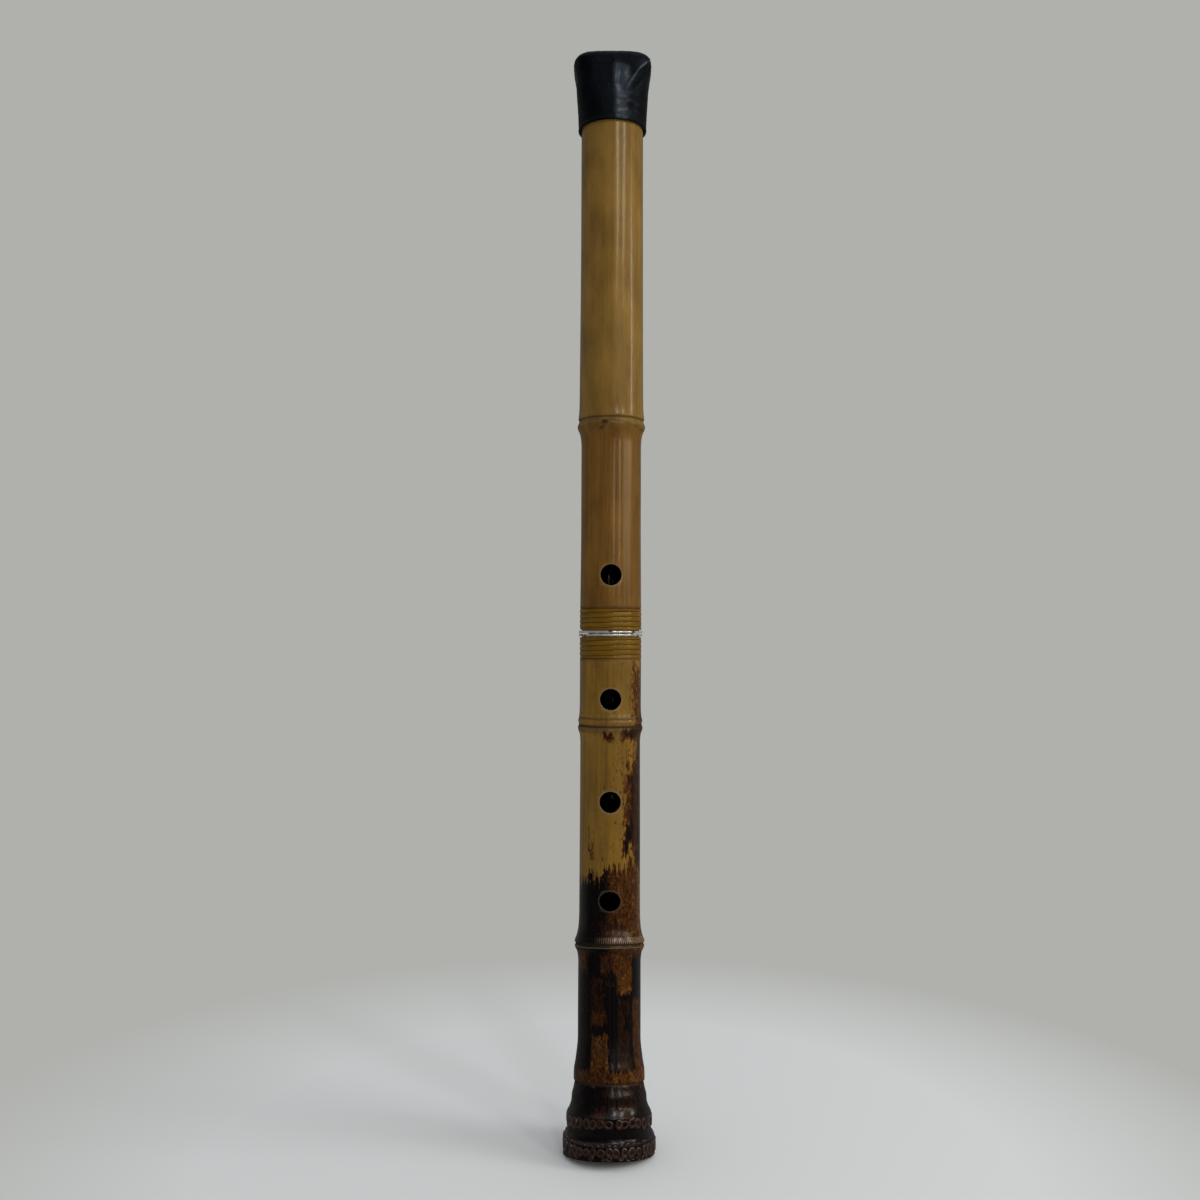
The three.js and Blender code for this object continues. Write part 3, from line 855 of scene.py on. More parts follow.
@dataclass(frozen=True)
class BambooFinish(Finish):
    """Madake bamboo, oiled and polished: a hard glossy rind over straight fibres.

    The fibres are 0.4 mm wide, and they give fine streaks along the culm and split its highlights.
    """

    pale: str
    middle: str
    deep: str
    speck: str = "#3a230e"
    amber: str = "#5a3508"
    brown: str = "#301605"
    black: str = "#090607"
    # Colour of the nodes' own dark lines and bud scars, and of the painted shade under the nodes and beside
    # the bindings.
    line: str = "#2e1c09"
    groove: str = "#55543a"
    worn: str = "#84705a"
    glint: str = "#ffe8bc"
    tint: str = "#e2d2c4"
    tint_top: float = -1
    fibre_width: float = 0.4
    roughness: float = 0.24
    strand: float = 4.5
    reach: float = 34.0
    stain_top: float = 127.0
    even_at: float = 207.0
    even_below: tuple[float, float] = (99.0, 118.0)
    ticks: float = 0
    stains: tuple[Stain, ...] = ()

    def noise(self, add: Add, culm: Input, wide: float, tall: float, detail: float = 3) -> Input:
        """Returns noise over the culm, with swells of a width and a height in mm."""
        return swells(add, culm, (wide, wide, tall), detail, Roughness=0.6)

    def stained(self, add: Add, culm: Input, turn: Input, height: Input, bare: Input) -> Input:
        """Lays the heat stain over the bare rind, with edges that run ragged, less so near the nodes.

        Args:
            add: Adds a node.
            culm: Straight coordinates in mm.
            turn: Degrees to the right of the front.
            height: Height along the culm in mm.
            bare: Colour of the bare rind.

        Returns:
            The colour with the stain on it.
        """
        near_node = add("MapRange", away(add, height, self.even_at), 5.0, 12.0, 0.3, 1.0)
        rag = add("Math MULTIPLY", add("MapRange", height, *self.even_below, 0.36, 1.0), near_node)
        sizes = ((1.5, 45), (2.2, 4.5), (1.1, 1.8))
        jag, curl, spotted = (add("Math ADD", self.noise(add, culm, *size, 4), -0.5) for size in sizes)
        high = add("Math MULTIPLY_ADD", add("Math MULTIPLY", jag, rag), self.reach, height)
        wide = add("Math MULTIPLY_ADD", add("Math MULTIPLY", curl, rag), self.reach, turn)
        spot = add("CombineXYZ", wide, high)
        depth = add("MapRange", high, self.stain_top, self.stain_top + 10, 0.8, 0.0)
        for stain in self.stains:
            depth = stain.paint(add, spot, depth)
        depth = add("Math MULTIPLY_ADD", spotted, 0.9, depth)
        depth = add("Math MULTIPLY_ADD", curl, 0.5, depth)
        cover = add("MapRange", depth, 0.1, 0.24, 0.0, 1.0, interpolation_type="SMOOTHSTEP")
        streaky = add("Mix", add("MapRange", jag, -0.15, 0.15, 0.0, 0.25), depth, 0.3)
        stops = ((0.16, self.amber), (0.42, self.brown), (0.68, self.black), (1.0, self.black))
        return add("Mix RGBA", cover, bare, add("ValToRGB", streaky, stops=stops))

    def ticked(self, add: Add, turn: Input, height: Input, colour: Input) -> Input:
        """Draws the short worn lines on the fourth node's lip and the dull line in its groove.

        Args:
            add: Adds a node.
            turn: Degrees to the right of the front.
            height: Height along the culm in mm.
            colour: Colour under the lines.

        Returns:
            The colour with the lines on it.
        """
        wave = add("Math SINE", add("Math MULTIPLY", turn, 1.75))
        row = add("MapRange", away(add, height, self.ticks), 1.8, 1.3, 0.0, 1.0)
        shown = add("MapRange", away(add, turn, 45.0), 40.0, 72.0, 0.85, 0.0)
        tick = add("Math MULTIPLY", add("MapRange", wave, 0.0, 0.6, 0.0, 1.0), row)
        colour = add("Mix RGBA", add("Math MULTIPLY", tick, shown), colour, self.worn)
        edge = add("MapRange", away(add, height, self.ticks - 3.5), 0.4, 0.15, 0.0, 0.8)
        return add("Mix RGBA", edge, colour, self.groove)

    def surface(self, add: Add) -> Input:
        """Adds fibres, specks, stain, the dark node lines with painted shade under the nodes and beside the
        bindings, and paler rims round the holes, under a thin clear gloss.

        Args:
            add: Adds a node.

        Returns:
            The finish's shader.
        """
        culm = add("Attribute", attribute_name="culm", out=1)
        x = add("SeparateXYZ", culm)
        y, height = x.node.outputs[1:3]
        turn = add("Math DEGREES", add("Math ARCTAN2", x, add("Math MULTIPLY", y, -1.0)))
        sizes = ((self.fibre_width, 28), (2.4, 150, 2), (9, 22, 4), (1.2, 110, 2))
        fibre, band, mottle, strand = (self.noise(add, culm, *size) for size in sizes)
        tone = add("Mix", 0.42, add("Mix", 0.55, fibre, band), mottle)
        lower = add("MapRange", height, self.tint_top, self.tint_top - 5, 0.0, 1.0)
        if self.tint_top > 0:
            tone = add("Mix", lower, add("Mix", 0.6, tone, add("Mix", 0.5, mottle, 0.5)), tone)
        colour = add("ValToRGB", tone, stops=((0.38, self.deep), (0.5, self.middle), (0.62, self.pale)))
        colour = add("Mix RGBA", lower, colour, self.tint, blend_type="MULTIPLY")
        dots = add("TexVoronoi", add("VectorMath MULTIPLY", culm, (1 / 6, 1 / 6, 1 / 9)), Scale=1.0)
        chosen = add("Math GREATER_THAN", add("SeparateColor", dots.node.outputs[1]), 0.6)
        speck = add("Math MULTIPLY", chosen, add("MapRange", dots, 0.05, 0.03, 0.0, 0.7))
        colour = add("Mix RGBA", speck, colour, self.speck)
        if self.stains:
            colour = self.stained(add, culm, turn, height, colour)
        if self.ticks:
            colour = self.ticked(add, turn, height, colour)
        # Darkens the rind at the node lines and bud scars, and paints shade under the nodes and beside the
        # bindings.
        crease = add("Attribute", attribute_name="crease", out=2)
        colour = add("Mix RGBA", crease, colour, self.line)
        # A paler ring round each hole's outer rim, fainter low on the culm.
        rim = add("Attribute", attribute_name="rim", out=2)
        rim = add("Math MULTIPLY", rim, add("MapRange", height, 120.0, 150.0, 0.3, 1.0))
        colour = add("Mix RGBA", rim, colour, self.worn)
        dull = add("MapRange", strand, 0.35, 0.65, self.roughness - 0.08, self.roughness + 0.12)
        relief = add("Math MULTIPLY_ADD", fibre, 0.6, add("Math MULTIPLY", mottle, 2.0))
        relief = add("Math MULTIPLY_ADD", strand, self.strand, relief)
        smooth_part = add("MapRange", crease, 0.0, 0.5, 1.0, 0.0)
        coat = add("Math MULTIPLY", add("MapRange", fibre, 0.3, 0.7, 0.38, 0.16), smooth_part)
        return add(
            "BsdfPrincipled", colour, Normal=add("Bump", Strength=1.0, Distance=0.02 * MM, Height=relief),
            Roughness=add("Mix", crease, dull, 0.9), Coat_Weight=coat, Coat_Roughness=0.13,
            Specular_Tint=self.glint, Specular_IOR_Level=0.4,
        )


@dataclass(frozen=True)
class StumpFinish(Finish):
    """Cut roots of the bamboo, lacquered dark: a pale ring of wood between dark bark and a dark pith.

    The wood's grain is 1.4 mm coarse, and it makes each ring ragged and glossy.
    """

    def surface(self, add: Add) -> Input:
        """Adds the rings of each cut, with worn patches.

        Args:
            add: Adds a node.

        Returns:
            The finish's shader.
        """
        ring, spot = add("Attribute", attribute_name="cut", out=2), in_mm(add)
        grain, patches = swells(add, spot, 1.4286, 4), swells(add, spot, 3.8462, 2)
        stops = ((0.0, "#0c0604"), (0.3, "#150c07"), (0.5, "#2e1b11"), (0.72, "#4c3020"), (1.0, "#0c0605"))
        ragged = add("Math MULTIPLY_ADD", add("Math ADD", grain, -0.5), 0.75, ring)
        worn = add("MapRange", patches, 0.35, 0.65, 0.75, 0.0)
        colour = add("Mix RGBA", worn, add("ValToRGB", ragged, stops=stops), "#1c100c")
        bump = add("Bump", Strength=1.0, Distance=0.12 * MM, Height=grain)
        return add("BsdfPrincipled", colour, Roughness=0.3, Normal=bump, Coat_Weight=0.8, Coat_Roughness=0.1)


@dataclass(frozen=True)
class RattanFinish(Finish):
    """Split rattan, wound wet and lacquered: fibres 0.26 mm wide run along the strip, with darker edges."""

    def surface(self, add: Add) -> Input:
        """Adds fibres along the strip, patches and edges.

        Args:
            add: Adds a node.

        Returns:
            The finish's shader.
        """
        strip = add("Attribute", attribute_name="strip", out=1)
        fibre, patch = swells(add, strip, (9, 0.22, 1), 3), swells(add, strip, (14, 3, 1), 2)
        stops = ((0.3, "#523805"), (0.5, "#6a4a09"), (0.7, "#7d5c14"))
        across = add("SeparateXYZ", strip).node.outputs[1]
        edge = add("MapRange", add("Math ABSOLUTE", across), 0.8, 1.0, 0.0, 1.0)
        edge = add("Math MULTIPLY", edge, add("MapRange", patch, 0.4, 0.6, 0.2, 0.85))
        colour = add("ValToRGB", add("Mix", 0.45, fibre, patch), stops=stops)
        colour = add("Mix RGBA", edge, colour, "#2c1c06")
        return add(
            "BsdfPrincipled", colour, Normal=add("Bump", Strength=1.0, Distance=0.03 * MM, Height=fibre),
            Roughness=0.34, Specular_Tint="#ffdc9c", Coat_Weight=0.28, Coat_Roughness=0.13,
        )


@dataclass(frozen=True)
class SilverFinish(Finish):
    """Silver sheet, turned and hand polished: bright, with dents 2.4 mm apart and painted dark reflections in
    their hollows.
    """

    def surface(self, add: Add) -> Input:
        """Adds dents, painted dark reflections in them, and fine wear.

        Args:
            add: Adds a node.

        Returns:
            The finish's shader.
        """
        spot = in_mm(add)
        dents, wear = swells(add, spot, 2.381, 3), swells(add, spot, 0.66667, 3)
        # Painted dark reflections in the dents' hollows; bright silver elsewhere.
        colour = add("ValToRGB", dents, stops=((0.36, "#4a443a"), (0.44, "#d8d0c2"), (0.62, "#f8f3ea")))
        gloss = add("MapRange", wear, 0.3, 0.7, 0.12, 0.3)
        bump = add("Bump", Strength=1.0, Distance=0.12 * MM, Height=dents)
        return add("BsdfPrincipled", colour, Metallic=0.72, Roughness=gloss, Normal=bump)


@dataclass(frozen=True)
class GlossFinish(Finish):
    """Black urushi lacquer, polished horn or waxed thread: a gloss over a nearly black, cloudy ground."""

    ground: str
    cloud: str
    roughness: float
    sizes: tuple[float, float, float] = (3.3333, 3.3333, 16.667)

    def surface(self, add: Add) -> Input:
        """Adds clouds of their own size in mm.

        Args:
            add: Adds a node.

        Returns:
            The finish's shader.
        """
        cloud = swells(add, in_mm(add), self.sizes, 4)
        colour = add("ValToRGB", cloud, stops=((0.4, self.ground), (0.72, self.cloud)))
        gloss = add("MapRange", cloud, 0.3, 0.7, self.roughness, self.roughness + 0.08)
        bump = add("Bump", Strength=1.0, Distance=0.02 * MM, Height=cloud)
        return add("BsdfPrincipled", colour, Roughness=gloss, Normal=bump)


@dataclass(frozen=True)
class LeatherFinish(Finish):
    """Thin goat leather, dyed black and worn shiny by handling: 0.9 mm pebbled grain with fine creases."""

    grain: float = 0.9

    def surface(self, add: Add) -> Input:
        """Adds pebbles with painted shade between them, wear, and a gloss where the hand has polished it,
        with a painted blue-grey highlight there and on the folds' ridges.

        Args:
            add: Adds a node.

        Returns:
            The finish's shader.
        """
        spot = in_mm(add)
        pebbles = add("TexVoronoi", spot, Scale=1 / self.grain, feature="DISTANCE_TO_EDGE")
        pebble = add("MapRange", pebbles, 0.0, 0.22, 0.0, 1.0, interpolation_type="SMOOTHSTEP")
        wear, fine = swells(add, spot, 6.6667, 5), swells(add, spot, 0.41667, 2)
        colour = add("ValToRGB", wear, stops=((0.35, "#020304"), (0.55, "#030507"), (0.75, "#080b0f")))
        # Painted shade in the cracks between the pebbles.
        colour = add("Mix RGBA", add("MapRange", pebble, 0.0, 1.0, 0.5, 0.0), colour, "#010202")
        # Painted blue-grey highlight where the hand has polished and on the folds' ridges; the same mask sets
        # the gloss.
        rubbed = add("Attribute", attribute_name="rubbed", out=2)
        rubbed = add("Math MULTIPLY_ADD", wear, 0.9, add("Math ADD", rubbed, -0.45))
        colour = add("Mix RGBA", add("MapRange", rubbed, 0.25, 0.9, 0.0, 1.0), colour, "#28323e")
        relief = add("Math MULTIPLY_ADD", fine, 0.3, pebble)
        return add(
            "BsdfPrincipled", colour, Normal=add("Bump", Strength=1.0, Distance=0.07 * MM, Height=relief),
            Roughness=add("MapRange", rubbed, 0.0, 0.6, 0.45, 0.3), Specular_Tint="#d0e2ff",
            Specular_IOR_Level=0.25, Coat_Weight=add("MapRange", rubbed, 0.1, 0.8, 0.0, 0.65),
            Coat_Roughness=0.28, Coat_IOR=1.6,
        )


@dataclass(frozen=True)
class FeltFinish(Finish):
    """Dark wool felt, pressed: matted fibres 0.1 mm thick with a soft sheen, drawn 0.4 mm to show."""

    def surface(self, add: Add) -> Input:
        """Adds matted fibres.

        Args:
            add: Adds a node.

        Returns:
            The finish's shader.
        """
        wool = swells(add, in_mm(add), 0.4, 4, Roughness=0.7, Distortion=1.5)
        colour = add("ValToRGB", wool, stops=((0.35, "#1d1916"), (0.65, "#3a332e")))
        bump = add("Bump", Strength=1.0, Distance=0.3 * MM, Height=wool)
        return add("BsdfPrincipled", colour, Roughness=0.95, Normal=bump, Sheen_Weight=0.4)


STAINS = tuple(Stain(*row) for row in (
    (50, 112, 100, 196, 0.55, 3), (57, 98, 190, 217, 0.48, 3), (14, 50, 148, 203, 0.1, 6),
    (44, 84, 208, 241, 0.3, 3.5), (98, 132, 124, 172, 0.4, 3), (34, 60, 150, 190, 0.5, 3),
    (28, 44, 151, 161, 0.75, 1.5), (-13, 4, 204.5, 208, 0.52, 1.5), (22, 60, 205, 210, 0.52, 1.5),
    (-42, -34, 146, 156, 0.4, 1.5), (-100, -10, 30, 133, 0.8), (-40, -32, 132, 139, 0.8),
    (-13, -3, 130, 142, 0.75), (-3, 58, 96, 142, 0.36, 1.5), (58, 120, 96, 142, 0.26, 2),
    (-16, 26, 104, 114, 0.48, 2), (-32, -19, 101, 107, 0.7), (-120, -45, 88, 99, 0.42, 2),
    (-40, -16, 85, 97, 0.95), (-18, 3, 87, 97, 0.46), (2, 45, 77.5, 97, 0.36), (17, 40, 78, 86, 0.28),
    (-12, 13, 76, 87, 0.7), (-36, -10, 58, 86, 0.6, 1.5), (112, 152, 62, 98, 0.46, 2),
    (152, 176, 74, 93, 0.58, 1.5), (126, 147, 38, 60, 0.34, 0.5), (-177, -152, 38, 66, 0.4, 0.6),
    (-150, -126, 44, 86, 0.58, 1), (-128, -96, 80, 98, 0.5, 2), (124, 170, 104, 124, 0.52, 3),
    (-36, -5, 62, 69, 0.44), (-30, -5, 57.5, 62.5, 0.76), (-34, -2, 38, 57.5, 0.34, 0.4),
    (-2, 15, 38, 76.5, 0.98, 0.4), (15, 42, 38, 75, 0.62, 0.6), (29, 37, 60, 67, 0.9),
    (42, 46, 38, 60, 0.95, 0.3), (46, 98, 38, 75, 0.4, 0.5), (-45, -38, 37, 51, 0.98, 0.3),
    (-400, 400, 33.7, 40.2, 0.28, 0.25), (-75, -8, 34, 40, 0.42, 0.6), (-6, 3, 35.5, 39, 0.55, 0.5),
    (-400, 400, -10, 33.7, 0.9, 0.25), (-24, -5, 14, 24, 0.5, 1.5), (-12, 70, 22.5, 32.5, 0.67, 2),
    (12, 38, 18, 27, 0.6, 1.5),
))
GOLDEN = BambooFinish("golden_bamboo_rind", "#86662d", "#775a27", "#644920", tint_top=364.5)
SMOKED = BambooFinish(
    "smoke_stained_bamboo_rind", "#836021", "#73551c", "#5f4315", glint="#fbf1e8", ticks=103.6, stains=STAINS
)
STUMPS = StumpFinish("cut_root_stumps")
RATTAN = RattanFinish("lacquered_rattan")
SILVER = SilverFinish("worn_silver")
LACQUER = GlossFinish("black_urushi_lacquer", "#050406", "#0b090a", 0.06)
HORN = GlossFinish("polished_buffalo_horn", "#0b0a0a", "#2a221c", 0.14, (1.4286, 8.3333, 8.3333))
THREAD = GlossFinish("waxed_black_thread", "#08080a", "#141416", 0.5, (0.25, 0.25, 0.25))
LEATHER = LeatherFinish("black_goat_leather")
FELT = FeltFinish("pressed_wool_felt")


# The pieces


def dress(obj: Object, body: Body, slot: Slot, finish: Finish, node: str = "") -> None:
    """Shades and dresses a piece and fastens it to its body.

    Args:
        obj: The finished mesh.
        body: CAD body that it rides on.
        slot: The record's material slot; not used.
        finish: Its finish, if it has no material yet.
        node: CAD node that it stands for.
    """
    if not obj.material_slots:
        obj.data.materials.append(finish.material())
    pick(obj)
    bpy.ops.object.shade_smooth_by_angle(angle=math.radians(SMOOTH_ANGLE))
    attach(obj, body.value)
    if node:
        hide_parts(node)
    LOG.info("%s: %d faces on %s", obj.name, len(obj.data.polygons), body.value)


def bore_lining(name: str, rows: list[float], holes: Sequence[FingerHole], **patches: int) -> Object:
    """Builds the lacquered lining of a bore, still straight.

    Args:
        name: Name of the piece.
        rows: Heights of its mesh rows.
        holes: Finger holes through it.
        patches: How many rows round a hole take part, for PiercedTube.

    Returns:
        The new object.
    """
    bore = [(FORM.bore(height), height) for height in rows]
    wall = FORM.hollow_rows(rows, FORM.film)
    return PiercedTube(name, wall, bore, holes, rim=0, reach_outside=20, **patches).build()


@dataclass(frozen=True)
class DarkBand:
    """A dark line round the culm: its height, width and depth in mm, and how dark it is.

    It may slant down by some mm, and run only between two places, as degrees to the right of the front. Some
    bands are the nodes' own dark lines, deepened by painted shade in their grooves; the others are painted
    shade alone.
    """

    at: float
    width: float
    depth: float
    dark: float
    slant: float = 0
    left: float = -400
    right: float = 400


@dataclass(frozen=True)
class CulmSurface:
    """What sets a real culm apart from a turned tube: an uneven wall, creases at the nodes with painted shade
    about them, and bud scars.

    A swell is its depth and its sizes in mm, and what it adds to the seed. A scar is its height, its degrees
    to the right of the front and its size.
    """

    creases: tuple[DarkBand, ...]
    holes: Sequence[FingerHole]
    seed: float
    scars: tuple[tuple[float, float, float], ...] = ()
    swells: tuple[Swell, ...] = ((0.1, (14, 14, 60), 0), (0.035, (3.5, 3.5, 45), 9))
    waver: float = 0.12
    fade: float = 14
    scar_depth: float = 0.35
    rim_paling: float = 0.45
    rim_width: float = 0.6

    def apply(self, obj: Object) -> None:
        """Shapes a straight tube's rind, stores what its material reads, and bends it on to the flute's axis.

        Args:
            obj: A straight tube, whose points beyond the rind's depth move.
        """
        points = points_of(obj)
        x, y, height = points.T
        radius, turn = np.hypot(x, y), np.degrees(np.arctan2(x, -y))
        outer = smooth((radius - FORM.rind_depth) / 1.5)
        uneven = sum(depth * noise_at(points, sizes, self.seed + more) for depth, sizes, more in self.swells)
        crease, rim = np.zeros(len(points)), np.zeros(len(points))
        # The bands darken the colour: the nodes' own lines with painted shade in their grooves, and bands of
        # painted shade alone.
        for line in self.creases:
            waver = self.waver * noise_at(points, (6, 6, 50), self.seed + line.at)
            at = line.at - line.slant * smooth((turn + 15) / 100) + waver
            mark = bell((height - at) / line.width)
            mark *= smooth((turn - line.left) / self.fade) * smooth((line.right - turn) / self.fade)
            uneven -= line.depth * mark
            crease = np.maximum(crease, line.dark * mark)
        for at, degrees, size in self.scars:
            across = (turn - degrees) * math.radians(1) * radius
            mark = bell(across / size) * bell((height - at) / (0.7 * size))
            uneven -= self.scar_depth * mark
            crease = np.maximum(crease, 0.95 * smooth(1.6 * mark))
        for hole in self.holes:
            off = np.hypot(x, height - hole.height) + 99 * (y * hole.side < 0)
            near = smooth((hole.radius + self.rim_width - off) / (self.rim_width / 2))
            rim = np.maximum(rim, self.rim_paling * near)
        keep_attribute(obj, "culm", points)
        keep_attribute(obj, "rim", rim * outer)
        keep_attribute(obj, "crease", crease * outer)
        stretch = 1 + outer * uneven / np.maximum(radius, 1)
        place(obj, AXIS.bend(points * np.column_stack([stretch, stretch, np.ones(len(points))])))


@dataclass(frozen=True)
class BlowingEdge:
    """The slanting cut through the front of the rim, and the horn wedge set in it."""

    drop: float = 3.5
    slope: float = 60
    rise: float = 6
    length: float = 9.5
    top: float = 7.5
    foot: float = 5.25
    thickness: float = 3
    overrun: float = 5
    fit: float = 0.05
    blank: float = 40

    def frame(self) -> Matrix:
        """Finds the cut's own axes: across, down the slope and into the wall.

        Returns:
            The matrix that takes a place on them to the straight flute, in mm.
        """
        lean = math.radians(self.slope)
        down = Vector((0, -math.cos(lean), -math.sin(lean)))
        into = Vector((0, math.sin(lean), -math.cos(lean)))
        turn = Matrix((Vector((1, 0, 0)), down, into)).transposed().to_4x4()
        return Matrix.Translation((0, -FORM.bore(FORM.length), FORM.length - self.drop)) @ turn

    def slice(self, obj: Object) -> None:
        """Cuts the slanting face through an object's rim.

        Args:
            obj: The object to change.
        """
        at, into = self.frame().translation * MM, self.frame().col[2].to_3d()
        with editing(obj):
            bpy.ops.mesh.bisect(plane_co=at, plane_no=into, use_fill=True, clear_inner=True)

    def wedge(self, margin: float) -> Object:
        """Models the wedge of the inlay, as a tool or as the inlay's blank.

        Args:
            margin: Millimetres by which it is grown.

        Returns:
            The closed wedge.
        """
        pick()
        bpy.ops.mesh.primitive_cube_add(size=2)
        tool = bpy.context.object
        for vert in tool.data.vertices:
            across = (self.foot if vert.co.y > 0 else self.top) + margin
            down = self.length + margin if vert.co.y > 0 else -self.rise - margin
            into = self.thickness + margin if vert.co.z > 0 else -self.overrun
            vert.co = self.frame() @ Vector((math.copysign(across, vert.co.x), down, into)) * MM
        weld(tool)
        return tool

    def cut(self, obj: Object) -> None:
        """Cuts the slanting face and the inlay's seat into an object."""
        self.slice(obj)
        boolean(obj, self.wedge(self.fit), Cut.OUTSIDE)

    def inlay(self) -> Object:
        """Builds the horn inlay, flush with the rim and the slanting face.

        Returns:
            The new object.
        """
        low, high = FORM.length - self.blank, FORM.length - FORM.mouth_rounding
        rows = rows_between(low, high, [], lambda height: 1.5)
        rim = (FORM.mouth_radius - FORM.mouth_rounding, FORM.length)
        inside = [(FORM.bore(height), height) for height in (FORM.length, low)]
        obj, _ = turned("horn_inlay", [*skin(UpperSection().stations(), rows), rim, *inside])
        self.slice(obj)
        boolean(obj, self.wedge(0), Cut.INSIDE)
        return bend(obj)


@dataclass(frozen=True)
class UpperSection:
    """The upper bamboo section, from its end at the joint to the rim that is blown."""

    coarse: float = 1.4
    fine: float = 0.35
    inner: float = 8
    scars: tuple[tuple[float, float, float], ...] = ((-2.7, -12, 1.9), (-5.6, -17, 0.9))

    def stations(self) -> Stations:
        """Shapes the section's outline.

        Returns:
            Pairs of height and radius, from the binding's recess to the mouth.
        """
        _, _, recess = FORM.seat(1)
        flare = FORM.length - FORM.mouth_flare
        return [
            (recess, FORM.joint_radius),
            ((recess + FORM.second_node.height) / 2, FORM.hand_radius),
            *FORM.second_node.stations(),
            (flare, FORM.shoulder_radius),
            (flare + 0.5 * FORM.mouth_flare, lerp(FORM.shoulder_radius, FORM.mouth_radius, 0.3)),
            (flare + 0.83 * FORM.mouth_flare, FORM.mouth_radius),
            (FORM.length, FORM.mouth_radius),
        ]

    def build(self) -> None:
        """Builds the section, its bore lining and the inlay of its blowing edge."""
        end, _, recess = FORM.seat(1)
        node, holes = FORM.second_node.height, FORM.holes[3:]
        fixed = [*PiercedTube.rows(holes), *(height for height, _ in FORM.second_node.stations())]
        rows = rows_between(
            recess + FORM.seat_bevel, FORM.length - FORM.mouth_rounding, fixed,
            lambda height: self.fine if -5 < height - node < 3 else self.coarse,
        )
        outside = [*FORM.seat_rows(end, recess), (FORM.joint_radius - FORM.seat_edge, recess)]
        outside += skin(self.stations(), rows)
        outside += [(FORM.mouth_radius - FORM.mouth_corner, FORM.length - FORM.mouth_corner)]
        outside += [(FORM.mouth_radius - FORM.mouth_rounding, FORM.length)]
        pocket, pocket_end = FORM.tenon_radius + FORM.glue_gap, FORM.tenon_head + FORM.glue_gap
        inner_rows = rows_between(pocket_end, FORM.length, PiercedTube.rows(holes), lambda height: self.inner)
        inside = [(pocket, end), (pocket, pocket_end), *FORM.hollow_rows(inner_rows)]
        materials = [GOLDEN.material(), LACQUER.material()]
        obj = PiercedTube("upper_section", outside, inside, holes, materials).build()
        edge = BlowingEdge()
        edge.cut(obj)
        # Dark bands: painted shade beside the binding; the second node's own line with painted shade in its
        # groove; painted shade on the node's shaded left side; the node's lower line with painted shade in
        # its groove; and painted shade under the node's bulge.
        creases = (
            DarkBand(recess + 0.2, 0.45, 0, 0.55), DarkBand(node + 0.1, 0.55, 0.16, 0.75),
            DarkBand(node - 1.3, 0.4, 0.06, 0.5, left=-110, right=-8),
            DarkBand(node - 1.2, 0.6, 0.14, 0.55, slant=4.4, left=-16), DarkBand(node - 3.6, 1.3, 0, 0.22),
        )
        scars = tuple((node + rise, turn, size) for rise, turn, size in self.scars)
        CulmSurface(creases, holes, 3, scars).apply(obj)
        dress(obj, Body.UPPER, Slot.GOLDEN_BAMBOO, GOLDEN, "upper_bamboo")
        lining = bore_lining("upper_bore", inner_rows, holes)
        edge.cut(lining)
        dress(bend(lining), Body.UPPER, Slot.LACQUER, LACQUER, "upper_bore_lining")
        dress(edge.inlay(), Body.UPPER, Slot.HORN, HORN, "mouth_inlay")


